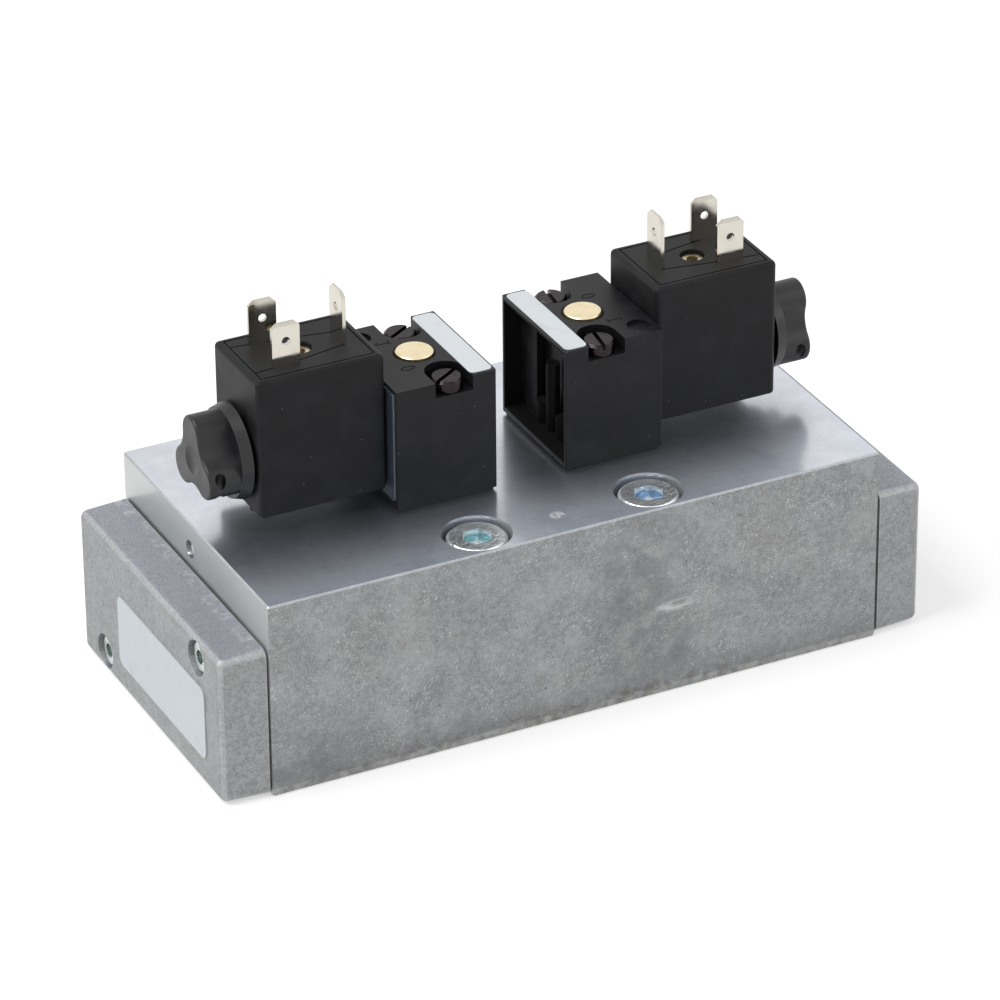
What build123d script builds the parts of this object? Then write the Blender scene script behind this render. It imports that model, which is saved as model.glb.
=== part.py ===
from build123d import *

import os
from math import atan2, cos, degrees, pi, sin

# Double solenoid spool valve for a sub-base, in millimetres.
# X runs along the spool, -Y is the front, Z is up, and the origin is at the
# centre of the underside. Both ends carry the same pieces, so each piece is
# modelled at the right end, and its left twin is turned half round from it.

# Valve body
BODY_LENGTH = 143.0
BODY_WIDTH = 74.3
BODY_HEIGHT = 45.3
BODY_CORNER = 0.7
BODY_EDGE = 0.35

# Main bore, its chambers and the ports under them
BORE_DIAMETER = 30.0
BORE_HEIGHT = 19.0
CHAMBER_PITCH = 16.0
PORT_WIDTH = 9.0
PORT_LENGTH = 18.0
PORT_ROW_OFFSET = 8.0
SIGNAL_PORT_DIAMETER = 4.0
SIGNAL_PORT_X = 43.0
SIGNAL_PORT_WALL = 1.5

# Rubber gasket let into the underside
BASE_GASKET_THICKNESS = 1.5
BASE_GASKET_LENGTH = 98.0
BASE_GASKET_FROM_HOLES = 1.5
BASE_GASKET_CORNER = 6.0

# Socket head screws that hold the valve to its sub-base
BOLT_DIAMETER = 8.0
BOLT_LENGTH = 35.0
BOLT_HEAD_DIAMETER = 13.0
BOLT_HEAD_HEIGHT = 8.0
BOLT_HEX = 6.0
BOLT_HEX_DEPTH = 4.0
BOLT_HEAD_EDGE = 0.6
BOLT_TIP_EDGE = 0.8
BOLT_HOLE_DIAMETER = 9.0
BOLT_COUNTERBORE = 15.0
BOLT_COUNTERBORE_DEPTH = 8.7
FRONT_BOLT_SPACING = 40.2
REAR_BOLT_SPACING = 48.0
BOLT_FROM_SIDE = 8.15

# End covers, their gaskets and screws
COVER_THICKNESS = 10.5
COVER_INSET = 0.35
COVER_TOP = 35.0
COVER_BOTTOM = 0.3
COVER_CORNER = 2.2
COVER_EDGE = 1.6
COVER_DRAFT = 2.5
COVER_GASKET = 0.5
COVER_GASKET_INSET = 0.7
COVER_SCREW_DIAMETER = 4.0
COVER_SCREW_HEAD = 7.0
COVER_SCREW_HEAD_HEIGHT = 4.0
COVER_SCREW_HEAD_EDGE = 0.4
COVER_SCREW_HEX = 3.0
COVER_SCREW_HEX_DEPTH = 2.0
COVER_SCREW_COUNTERBORE = 8.0
COVER_SCREW_COUNTERBORE_DEPTH = 4.9
COVER_SCREW_GRIP = 10.0
COVER_SCREW_FROM_SIDE = 12.0
COVER_SCREW_HIGH = 29.9
COVER_SCREW_LOW = 5.4
AIR_POCKET_DEPTH = 1.5
AIR_POCKET_LEDGE = 3.0

# Bare rating plate on the left cover
PLATE_LENGTH = 45.0
PLATE_HEIGHT = 16.8
PLATE_THICKNESS = 0.25
PLATE_CORNER = 2.0
PLATE_Y = -6.3
PLATE_Z = 15.7

# Drilled air gallery at each end, closed by a ball
GALLERY_DIAMETER = 4.0
GALLERY_DROP = 0.55
GALLERY_Y = 2.2
BALL_INSET = 2.4

# Sleeve, spool and pistons
SPOOL_STROKE = 9.0
SPOOL_LAND_DIAMETER = 20.0
SPOOL_NECK_DIAMETER = 11.0
SPOOL_OVERLAP = 0.4
SLEEVE_GROOVE_DEPTH = 2.5
SLEEVE_GROOVE_WIDTH = 7.0
SLEEVE_WINDOW = 5.0
SLEEVE_WINDOWS = 4
SLEEVE_END_GAP = 2.2
SEAL_SECTION = 2.3
SEAL_GROOVE_WIDTH = 3.0
PISTON_THICKNESS = 6.5
PISTON_SPIGOT_DIAMETER = 8.0
PISTON_SPIGOT_LENGTH = 3.5
PISTON_STOP_GAP = 0.3

# Pilot block and its seat on the body
PILOT_Y = 0.5
PILOT_INNER_X = 8.1
PILOT_LENGTH = 23.0
PILOT_WIDTH = 29.8
PILOT_HEIGHT = 27.8
PILOT_GASKET = 0.8
PILOT_GASKET_INSET = 0.6
PILOT_EDGE = 0.3
PILOT_WALL = 1.0
PILOT_FLOOR = 1.3
PILOT_HOLLOW_DEPTH = 4.3
PILOT_NICHE_DEPTH = 6.6
PILOT_NICHE_WIDTH = 14.0
PILOT_NICHE_HEIGHT = 22.0
POST_DIAMETER = 3.0
POST_X = 12.7
POST_PITCH = 4.4
TALL_POST_HEIGHT = 16.1
SHORT_POST_HEIGHT = 5.2

# Air passages from the body into the pilot block
PASSAGE_DIAMETER = 2.0
SUPPLY_X = 19.3
SUPPLY_Y = 1.7
OUTLET_X = 26.0
OUTLET_Y = 3.2
OUTLET_DEPTH = 4.0
OUTLET_RISE = 12.5

# Slotted screws in the pilot block's open pockets
PILOT_SCREW_DIAMETER = 4.0
PILOT_SCREW_HEAD = 7.0
PILOT_SCREW_HEAD_HEIGHT = 2.7
PILOT_SCREW_HEAD_EDGE = 0.5
PILOT_SCREW_SLOT = 1.0
PILOT_SCREW_SLOT_DEPTH = 1.2
PILOT_SCREW_TURNS = {"left": 32.0, "right": 82.0}
PILOT_SCREW_GRIP = 8.0
PILOT_SCREW_X = 17.8
PILOT_SCREW_Y = 11.1
PILOT_SCREW_PLAY = 0.2
POCKET_RADIUS = 4.35
POCKET_DEPTH = 3.5
POCKET_Y = 10.4

# Shallow round recess and paper label on the pilot block's top
DIMPLE_DIAMETER = 5.1
DIMPLE_DEPTH = 0.8
DIMPLE_X = 27.5
DIMPLE_Y = 10.7
LABEL_WIDTH = 5.2
LABEL_LENGTH = 28.6
LABEL_THICKNESS = 0.15
LABEL_INSET = 0.4
LABEL_CORNER = 1.2

# Manual override button with its seal and return spring
OVERRIDE_X = 19.8
OVERRIDE_DIAMETER = 8.1
OVERRIDE_HEAD = 3.4
OVERRIDE_PROUD = 0.4
OVERRIDE_EDGE = 0.2
OVERRIDE_STEM = 4.0
OVERRIDE_TRAVEL = 1.5
OVERRIDE_BORE_DEPTH = 7.4
OVERRIDE_GUIDE = 2.5
OVERRIDE_RIM = 0.6
OVERRIDE_SEAL = 1.0
OVERRIDE_SEAL_RISE = 0.9
OVERRIDE_SPRING = 6.6
OVERRIDE_SPRING_WIRE = 0.6
OVERRIDE_SPRING_TURNS = 3

# Tube, plunger and nozzle on the solenoid's axis
SOLENOID_RISE = 14.9
TUBE_DIAMETER = 9.0
TUBE_WALL = 0.5
TUBE_LENGTH = 32.0
TUBE_FLANGE_DIAMETER = 15.8
TUBE_FLANGE = 2.0
TUBE_SEAL = 1.4
TUBE_SEAL_DEPTH = 1.2
CORE_LENGTH = 11.9
STUD_DIAMETER = 5.0
STUD_LENGTH = 7.5
STUD_EDGE = 0.5
CHAMBER_DIAMETER = 10.0
CHAMBER_DEPTH = 3.3
NOZZLE_DIAMETER = 5.0
NOZZLE_LENGTH = 4.2
NOZZLE_BORE_DEPTH = 6.7
NOZZLE_LIP_DIAMETER = 2.4
NOZZLE_LIP = 0.5
NOZZLE_ORIFICE = 1.0
PLUNGER_TRAVEL = 1.0
PLUNGER_AIR_GAP = 0.1
PLUNGER_SLOT_WIDTH = 1.4
PLUNGER_SLOT_DEPTH = 0.8
POPPET_DIAMETER = 4.2
POPPET_LENGTH = 2.4
POPPET_STANDOFF = 0.6
PLUNGER_SPRING = 3.8
PLUNGER_SPRING_WIRE = 0.5
PLUNGER_SPRING_TURNS = 5
PLUNGER_SPRING_DEPTH = 8.0
PLUNGER_SPRING_PLAY = 0.3

# Zinc plated yoke plate let into the pilot block's outer face
YOKE_WIDTH = 27.4
YOKE_HEIGHT = 25.2
YOKE_THICKNESS = 1.6
YOKE_POCKET_DEPTH = 1.3
YOKE_RISE = 1.6
YOKE_CORNER = 0.8

# Coil and the seals at its two ends
COIL_LENGTH = 29.0
COIL_WIDTH = 22.0
COIL_HEIGHT = 31.8
COIL_BELOW_AXIS = 11.5
COIL_CORNER = 1.2
COIL_TOP_EDGE = 1.1
COIL_BOTTOM_EDGE = 0.8
INNER_SEAL = 0.3
OUTER_SEAL = 0.9
COIL_SEAL_DIAMETER = 14.0
PIP_DIAMETER = 1.4
PIP_HEIGHT = 0.8
PIP_INSET = 1.2
PIP_Y = 4.5

# Fine grooves in the coil's top: a line inside its edges, and two that spread from the earth blade
TOP_GROOVE_WIDTH = 0.4
TOP_GROOVE_DEPTH = 0.3
TOP_GROOVE_INSET = 1.7
SPREAD_START = 3.1
SPREAD_BEND_X = 48.7
SPREAD_BEND = 5.2
SPREAD_END = 6.4

# Electrical blades and the threaded insert between them
BLADE_WIDTH = 6.3
BLADE_THICKNESS = 0.8
POWER_BLADE_HEIGHT = 10.0
EARTH_BLADE_HEIGHT = 11.9
BLADE_ROOT = 4.0
BLADE_CHAMFER = 1.2
BLADE_TIP = 0.2
BLADE_TIP_REACH = 0.8
BLADE_HOLE = 1.8
BLADE_HOLE_BELOW_TIP = 4.3
POWER_BLADE_X = 51.8
POWER_BLADE_PITCH = 11.6
EARTH_BLADE_X = 37.2
INSERT_X = 46.0
INSERT_DIAMETER = 4.6
INSERT_HOLE = 2.5
INSERT_LENGTH = 7.0
INSERT_RECESS_DIAMETER = 5.4
INSERT_RECESS_DEPTH = 0.9

# Retaining knob
KNOB_FLANGE_DIAMETER = 21.0
KNOB_FLANGE_FACE = 19.6
KNOB_FLANGE = 2.4
KNOB_LENGTH = 9.5
KNOB_LOBES = 3
KNOB_LOBE_RADIUS = 4.1
KNOB_LOBE_REACH = 9.9
KNOB_WAIST = 5.7
KNOB_EDGE = 0.6
KNOB_DISH_RADIUS = 3.2
KNOB_DISH_DEPTH = 0.7
KNOB_HOLE_DIAMETER = 2.4
KNOB_HOLE_FROM_FACE = 2.5
KNOB_HOLE_REACH = 8.6
KNOB_STUD_GAP = 0.5
KNOB_TURNS = {"left": -4.5, "right": 18.0}

# Clearances
SCREW_CLEARANCE = 0.05
STATIC_CLEARANCE = 0.03
RUNNING_CLEARANCE = 0.05
STEM_END_GAP = 0.3

half_length = BODY_LENGTH / 2
bore_radius = BORE_DIAMETER / 2
gallery_z = (BORE_HEIGHT + bore_radius + BODY_HEIGHT) / 2 - GALLERY_DROP
signal_y = bore_radius + SIGNAL_PORT_WALL + SIGNAL_PORT_DIAMETER / 2
bolt_row = BODY_WIDTH / 2 - BOLT_FROM_SIDE
base_gasket_width = 2 * (bolt_row - BOLT_HOLE_DIAMETER / 2 - BASE_GASKET_FROM_HOLES)
cover_inner = half_length + COVER_GASKET
cover_outer = cover_inner + COVER_THICKNESS
cover_middle = (COVER_TOP + COVER_BOTTOM) / 2
cover_width = BODY_WIDTH - 2 * COVER_INSET
cover_screw_y = cover_width / 2 - COVER_SCREW_FROM_SIDE
piston_outer = cover_inner - PISTON_STOP_GAP - SPOOL_STROKE / 2
piston_inner = piston_outer - PISTON_THICKNESS
spool_rest = -SPOOL_STROKE / 2
sleeve_half = piston_inner - SPOOL_STROKE / 2 - SLEEVE_END_GAP
sleeve_radius = bore_radius - STATIC_CLEARANCE

pilot_base = BODY_HEIGHT + PILOT_GASKET
pilot_top = pilot_base + PILOT_HEIGHT
pilot_outer = PILOT_INNER_X + PILOT_LENGTH
pilot_middle = (PILOT_INNER_X + pilot_outer) / 2
axis_z = pilot_base + SOLENOID_RISE
yoke_inner = pilot_outer - YOKE_POCKET_DEPTH
yoke_outer = yoke_inner + YOKE_THICKNESS
yoke_middle = pilot_base + YOKE_RISE + YOKE_HEIGHT / 2 - axis_z
flange_inner = yoke_inner - TUBE_FLANGE
tube_end = flange_inner + TUBE_LENGTH
tube_bore = TUBE_DIAMETER / 2 - TUBE_WALL
chamber_inner = flange_inner - CHAMBER_DEPTH
nozzle_face = chamber_inner + NOZZLE_LIP
nozzle_back = chamber_inner - NOZZLE_LENGTH
core_inner = tube_end - CORE_LENGTH
plunger_inner = nozzle_face + POPPET_STANDOFF
plunger_outer = core_inner - PLUNGER_TRAVEL - PLUNGER_AIR_GAP
coil_inner = yoke_outer + INNER_SEAL
coil_outer = coil_inner + COIL_LENGTH
coil_middle = (coil_inner + coil_outer) / 2
coil_bottom = axis_z - COIL_BELOW_AXIS
coil_top = coil_bottom + COIL_HEIGHT
knob_inner = coil_outer + OUTER_SEAL
knob_outer = knob_inner + KNOB_LENGTH

body_turn = Axis((0, 0, 0), (0, 0, 1))
pilot_turn = Axis((0, PILOT_Y, 0), (0, 0, 1))
solenoid_axis = Axis((0, PILOT_Y, axis_z), (1, 0, 0))

chambers = [step * CHAMBER_PITCH for step in (-2, -1, 0, 1, 2)]
seal_places = [(step - 2.5) * CHAMBER_PITCH for step in range(6)]
bolt_places = [
    (side * spacing / 2, row * bolt_row)
    for row, spacing in ((-1, FRONT_BOLT_SPACING), (1, REAR_BOLT_SPACING))
    for side in (-1, 1)
]
cover_screw_places = [(-cover_screw_y, COVER_SCREW_LOW), (cover_screw_y, COVER_SCREW_HIGH)]
pilot_screw_places = [(PILOT_SCREW_X, PILOT_Y + side * PILOT_SCREW_Y) for side in (-1, 1)]
supply_place = (SUPPLY_X, PILOT_Y - SUPPLY_Y)
outlet_place = (OUTLET_X, PILOT_Y + OUTLET_Y)

os.makedirs("parts", exist_ok=True)


def across(x, y=0.0, z=0.0):
    """Return the plane square to X through a point, with Y to its right and Z up."""
    return Plane((x, y, z), x_dir=(0, 1, 0), z_dir=(1, 0, 0))


def across_bore(x):
    """Return the plane square to the main bore, centred on its axis."""
    return across(x, 0, BORE_HEIGHT)


def across_solenoid(x):
    """Return the plane square to the right solenoid, centred on its axis."""
    return across(x, PILOT_Y, axis_z)


def level(z):
    """Return the level plane at a height."""
    return Plane.XY.offset(z)


def at_end(side, places):
    """Return places of the right pilot for one end: side 1 keeps them, -1 turns them half round."""
    return [(side * x, PILOT_Y + side * (y - PILOT_Y)) for x, y in places]


def save(piece, name):
    """Label a finished piece and write it to its STEP file."""
    piece.label = name
    export_step(piece, f"parts/{name}.step")


def save_pair(piece, name, middle):
    """Write a piece of the right end and its twin, turned half round for the left end."""
    save(piece.rotate(middle, 180), f"{name}_left")
    save(piece, f"{name}_right")


# Valve body: machined block with the main bore, ports and drilled galleries
with BuildPart() as valve_body:
    with BuildSketch():
        Rectangle(BODY_LENGTH, BODY_WIDTH)
    extrude(amount=BODY_HEIGHT)
    fillet(valve_body.edges().filter_by(Axis.Z), BODY_CORNER)
    fillet(valve_body.faces().sort_by(Axis.Z)[0].edges(), BODY_CORNER)
    chamfer(valve_body.faces().sort_by(Axis.Z)[-1].edges(), BODY_EDGE)
    with BuildSketch(across_bore(-half_length)):
        Circle(bore_radius)
    extrude(amount=BODY_LENGTH, mode=Mode.SUBTRACT)
    with BuildSketch():
        RectangleRounded(BASE_GASKET_LENGTH, base_gasket_width, BASE_GASKET_CORNER)
    extrude(amount=BASE_GASKET_THICKNESS, mode=Mode.SUBTRACT)
    with BuildSketch():
        for step, chamber in enumerate(chambers):
            row = PORT_ROW_OFFSET if step % 2 else -PORT_ROW_OFFSET
            with Locations((chamber, row)):
                SlotOverall(PORT_LENGTH, PORT_WIDTH, rotation=90)
    extrude(amount=BORE_HEIGHT, mode=Mode.SUBTRACT)
    with BuildSketch():
        with Locations((SIGNAL_PORT_X, -signal_y), (-SIGNAL_PORT_X, signal_y)):
            Circle(SIGNAL_PORT_DIAMETER / 2)
    extrude(amount=gallery_z, mode=Mode.SUBTRACT)
    with BuildSketch(level(BODY_HEIGHT)):
        with Locations(*bolt_places):
            Circle(BOLT_HOLE_DIAMETER / 2)
    extrude(amount=-BODY_HEIGHT, mode=Mode.SUBTRACT)
    with BuildSketch(level(BODY_HEIGHT)):
        with Locations(*bolt_places):
            Circle(BOLT_COUNTERBORE / 2)
    extrude(amount=-BOLT_COUNTERBORE_DEPTH, mode=Mode.SUBTRACT)
    for side in (-1, 1):
        end_face = side * half_length
        with BuildSketch(across(end_face, -side * GALLERY_Y, gallery_z)):
            Circle(GALLERY_DIAMETER / 2)
        extrude(amount=side * SUPPLY_X - end_face, mode=Mode.SUBTRACT)
        with BuildSketch(Plane.XZ.offset(side * signal_y)):
            with Locations((side * SIGNAL_PORT_X, gallery_z)):
                Circle(PASSAGE_DIAMETER / 2)
        extrude(amount=side * (GALLERY_Y - signal_y), mode=Mode.SUBTRACT)
        with BuildSketch(level(BODY_HEIGHT)):
            with Locations(*at_end(side, [supply_place])):
                Circle(PASSAGE_DIAMETER / 2)
        extrude(amount=gallery_z - BODY_HEIGHT, mode=Mode.SUBTRACT)
        outlet_x, outlet_y = at_end(side, [outlet_place])[0]
        with BuildSketch(level(BODY_HEIGHT)):
            with Locations((outlet_x, outlet_y)):
                Circle(PASSAGE_DIAMETER / 2)
        extrude(amount=-OUTLET_DEPTH, mode=Mode.SUBTRACT)
        drill_start = Vector(end_face, outlet_y, BORE_HEIGHT + OUTLET_RISE)
        drill_end = Vector(outlet_x, outlet_y, BODY_HEIGHT - OUTLET_DEPTH)
        drill_run = drill_end - drill_start
        with BuildSketch(Plane(drill_start, z_dir=drill_run)):
            Circle(PASSAGE_DIAMETER / 2)
        extrude(amount=drill_run.length, mode=Mode.SUBTRACT)
        with BuildSketch(level(BODY_HEIGHT)):
            with Locations(*at_end(side, pilot_screw_places)):
                Circle(PILOT_SCREW_DIAMETER / 2)
        extrude(amount=-PILOT_SCREW_GRIP - SCREW_CLEARANCE, mode=Mode.SUBTRACT)
        with BuildSketch(across(end_face)):
            with Locations(*[(side * y, z) for y, z in cover_screw_places]):
                Circle(COVER_SCREW_DIAMETER / 2)
        extrude(amount=-side * (COVER_SCREW_GRIP + SCREW_CLEARANCE), mode=Mode.SUBTRACT)
save(valve_body.part, "valve_body")

# Base gasket: moulded rubber plate with an opening for each port
with BuildPart() as base_gasket:
    with BuildSketch():
        length = BASE_GASKET_LENGTH - 2 * STATIC_CLEARANCE
        width = base_gasket_width - 2 * STATIC_CLEARANCE
        RectangleRounded(length, width, BASE_GASKET_CORNER - STATIC_CLEARANCE)
        for step, chamber in enumerate(chambers):
            row = PORT_ROW_OFFSET if step % 2 else -PORT_ROW_OFFSET
            with Locations((chamber, row)):
                SlotOverall(PORT_LENGTH, PORT_WIDTH, rotation=90, mode=Mode.SUBTRACT)
        with Locations((SIGNAL_PORT_X, -signal_y), (-SIGNAL_PORT_X, signal_y)):
            Circle(SIGNAL_PORT_DIAMETER / 2, mode=Mode.SUBTRACT)
    extrude(amount=BASE_GASKET_THICKNESS)
save(base_gasket.part, "base_gasket")

# Mounting bolts: socket head cap screws sunk in the top face
bolt_seat = BODY_HEIGHT - BOLT_COUNTERBORE_DEPTH
with BuildPart() as mounting_bolts:
    with BuildSketch(level(bolt_seat)):
        with Locations(*bolt_places):
            Circle(BOLT_HEAD_DIAMETER / 2)
    extrude(amount=BOLT_HEAD_HEIGHT)
    chamfer(mounting_bolts.faces().sort_by(Axis.Z)[-4:].edges(), BOLT_HEAD_EDGE)
    with BuildSketch(level(bolt_seat + BOLT_HEAD_HEIGHT)):
        with Locations(*bolt_places):
            RegularPolygon(BOLT_HEX / 2, 6, major_radius=False)
    extrude(amount=-BOLT_HEX_DEPTH, mode=Mode.SUBTRACT)
    with BuildSketch(level(bolt_seat)):
        with Locations(*bolt_places):
            Circle(BOLT_DIAMETER / 2)
    extrude(amount=-BOLT_LENGTH)
    chamfer(mounting_bolts.faces().sort_by(Axis.Z)[:4].edges(), BOLT_TIP_EDGE)
save(mounting_bolts.part, "mounting_bolts")

# Sleeve: plain bore inside, and outside a groove with windows for each chamber and one for each seal
with BuildPart() as spool_sleeve:
    with BuildSketch(across_bore(-sleeve_half)):
        Circle(sleeve_radius)
        Circle(SPOOL_LAND_DIAMETER / 2, mode=Mode.SUBTRACT)
    extrude(amount=2 * sleeve_half)
    for places, groove_width, groove_depth in (
        (chambers, SLEEVE_GROOVE_WIDTH, SLEEVE_GROOVE_DEPTH),
        (seal_places, SEAL_GROOVE_WIDTH, SEAL_SECTION),
    ):
        for place in places:
            with BuildSketch(across_bore(place - groove_width / 2)):
                Circle(bore_radius)
                Circle(sleeve_radius - groove_depth, mode=Mode.SUBTRACT)
            extrude(amount=groove_width, mode=Mode.SUBTRACT)
    for chamber in chambers:
        for window in range(SLEEVE_WINDOWS):
            spoke = level(BORE_HEIGHT).rotated((45 + window * 360 / SLEEVE_WINDOWS, 0, 0))
            with BuildSketch(spoke):
                with Locations((chamber, 0)):
                    Circle(SLEEVE_WINDOW / 2)
            extrude(amount=bore_radius, mode=Mode.SUBTRACT)
save(spool_sleeve.part, "spool_sleeve")

# Sleeve seals: one square-cut ring in each narrow groove
with BuildPart() as sleeve_seals:
    for place in seal_places:
        with BuildSketch(across_bore(place - SEAL_SECTION / 2)):
            Circle(sleeve_radius - STATIC_CLEARANCE)
            Circle(sleeve_radius - SEAL_SECTION + STATIC_CLEARANCE, mode=Mode.SUBTRACT)
        extrude(amount=SEAL_SECTION)
save(sleeve_seals.part, "sleeve_seals")

# Spool: turned rod resting at the left end of its stroke. Two lands guard the
# outlet windows, and a longer land at each end seals the exhaust chambers.
land_radius = SPOOL_LAND_DIAMETER / 2 - RUNNING_CLEARANCE
land_width = SLEEVE_WINDOW + 2 * SPOOL_OVERLAP
end_land_start = chambers[-1] + (SLEEVE_WINDOW + SPOOL_STROKE) / 2 + SPOOL_OVERLAP
end_land_width = sleeve_half - end_land_start
spool_lands = [
    (-sleeve_half, end_land_width),
    (chambers[1] - land_width / 2, land_width),
    (chambers[3] - land_width / 2, land_width),
    (end_land_start, end_land_width),
]
with BuildPart() as spool:
    with BuildSketch(across_bore(spool_rest - piston_inner)):
        Circle(SPOOL_NECK_DIAMETER / 2)
    extrude(amount=2 * piston_inner)
    for start, land in spool_lands:
        with BuildSketch(across_bore(spool_rest + start)):
            Circle(land_radius)
        extrude(amount=land)
    with BuildSketch(across_bore(spool_rest - piston_inner - PISTON_SPIGOT_LENGTH)):
        Circle(PISTON_SPIGOT_DIAMETER / 2)
    extrude(amount=2 * (piston_inner + PISTON_SPIGOT_LENGTH))
save(spool.part, "spool")

# Pistons: one on each end of the spool, with a seal in its rim
piston_radius = bore_radius - 2 * RUNNING_CLEARANCE
piston_middle = (piston_inner + piston_outer) / 2
for side, name in ((-1, "piston_left"), (1, "piston_right")):
    with BuildPart() as piston:
        with BuildSketch(across_bore(spool_rest + side * piston_inner)):
            Circle(piston_radius)
        extrude(amount=side * PISTON_THICKNESS)
        with BuildSketch(across_bore(spool_rest + side * piston_inner)):
            Circle(PISTON_SPIGOT_DIAMETER / 2 + STATIC_CLEARANCE)
        extrude(amount=side * (PISTON_SPIGOT_LENGTH + STATIC_CLEARANCE), mode=Mode.SUBTRACT)
        with BuildSketch(across_bore(spool_rest + side * piston_middle - SEAL_GROOVE_WIDTH / 2)):
            Circle(bore_radius)
            Circle(piston_radius - SEAL_SECTION, mode=Mode.SUBTRACT)
        extrude(amount=SEAL_GROOVE_WIDTH, mode=Mode.SUBTRACT)
    save(piston.part, name)

with BuildPart() as piston_seals:
    for side in (-1, 1):
        with BuildSketch(across_bore(spool_rest + side * piston_middle - SEAL_SECTION / 2)):
            Circle(piston_radius)
            Circle(piston_radius - SEAL_SECTION + STATIC_CLEARANCE, mode=Mode.SUBTRACT)
        extrude(amount=SEAL_SECTION)
save(piston_seals.part, "piston_seals")

# End cover: drafted casting with two sunk screw places and an air pocket inside
with BuildPart() as end_cover:
    with BuildSketch(across(cover_inner, 0, cover_middle)):
        RectangleRounded(cover_width, COVER_TOP - COVER_BOTTOM, COVER_CORNER)
    extrude(amount=COVER_THICKNESS, taper=COVER_DRAFT)
    fillet(end_cover.faces().sort_by(Axis.X)[-1].edges(), COVER_EDGE)
    with BuildSketch(across(cover_outer)):
        with Locations(*cover_screw_places):
            Circle(COVER_SCREW_DIAMETER / 2 + SCREW_CLEARANCE)
    extrude(amount=-COVER_THICKNESS, mode=Mode.SUBTRACT)
    with BuildSketch(across(cover_outer)):
        with Locations(*cover_screw_places):
            Circle(COVER_SCREW_COUNTERBORE / 2)
    extrude(amount=-COVER_SCREW_COUNTERBORE_DEPTH, mode=Mode.SUBTRACT)
    with BuildSketch(across_bore(cover_inner)):
        Circle(bore_radius - AIR_POCKET_LEDGE)
    extrude(amount=AIR_POCKET_DEPTH, mode=Mode.SUBTRACT)
save_pair(end_cover.part, "end_cover", body_turn)

# Cover gasket: thin sheet with the bore and the screw places cut out
with BuildPart() as cover_gasket:
    with BuildSketch(across(half_length)):
        with Locations((0, cover_middle)):
            width = cover_width - 2 * COVER_GASKET_INSET
            height = COVER_TOP - COVER_BOTTOM - 2 * COVER_GASKET_INSET
            RectangleRounded(width, height, COVER_CORNER - COVER_GASKET_INSET)
        with Locations((0, BORE_HEIGHT)):
            Circle(bore_radius, mode=Mode.SUBTRACT)
        with Locations(*cover_screw_places):
            Circle(COVER_SCREW_DIAMETER / 2 + SCREW_CLEARANCE, mode=Mode.SUBTRACT)
    extrude(amount=COVER_GASKET)
save_pair(cover_gasket.part, "cover_gasket", body_turn)

# Cover screws: socket heads sunk in the cover's outer face
cover_seat = cover_outer - COVER_SCREW_COUNTERBORE_DEPTH
with BuildPart() as cover_screws:
    with BuildSketch(across(cover_seat)):
        with Locations(*cover_screw_places):
            Circle(COVER_SCREW_HEAD / 2)
    extrude(amount=COVER_SCREW_HEAD_HEIGHT)
    chamfer(cover_screws.faces().sort_by(Axis.X)[-2:].edges(), COVER_SCREW_HEAD_EDGE)
    with BuildSketch(across(cover_seat + COVER_SCREW_HEAD_HEIGHT)):
        with Locations(*cover_screw_places):
            RegularPolygon(COVER_SCREW_HEX / 2, 6, major_radius=False)
    extrude(amount=-COVER_SCREW_HEX_DEPTH, mode=Mode.SUBTRACT)
    with BuildSketch(across(cover_seat)):
        with Locations(*cover_screw_places):
            Circle(COVER_SCREW_DIAMETER / 2 - STATIC_CLEARANCE)
    extrude(amount=half_length - COVER_SCREW_GRIP - cover_seat)
save_pair(cover_screws.part, "cover_screws", body_turn)

# Rating plate: thin plate with rounded corners on the left cover
with BuildPart() as rating_plate:
    with BuildSketch(across(-cover_outer)):
        with Locations((PLATE_Y, PLATE_Z)):
            RectangleRounded(PLATE_LENGTH, PLATE_HEIGHT, PLATE_CORNER)
    extrude(amount=-PLATE_THICKNESS)
save(rating_plate.part, "rating_plate")

# Gallery plugs: a ball pressed into the mouth of each gallery
with BuildPart() as gallery_plugs:
    for side in (-1, 1):
        with Locations((side * (half_length - BALL_INSET), -side * GALLERY_Y, gallery_z)):
            Sphere(GALLERY_DIAMETER / 2 - STATIC_CLEARANCE)
save(gallery_plugs.part, "gallery_plugs")

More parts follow.
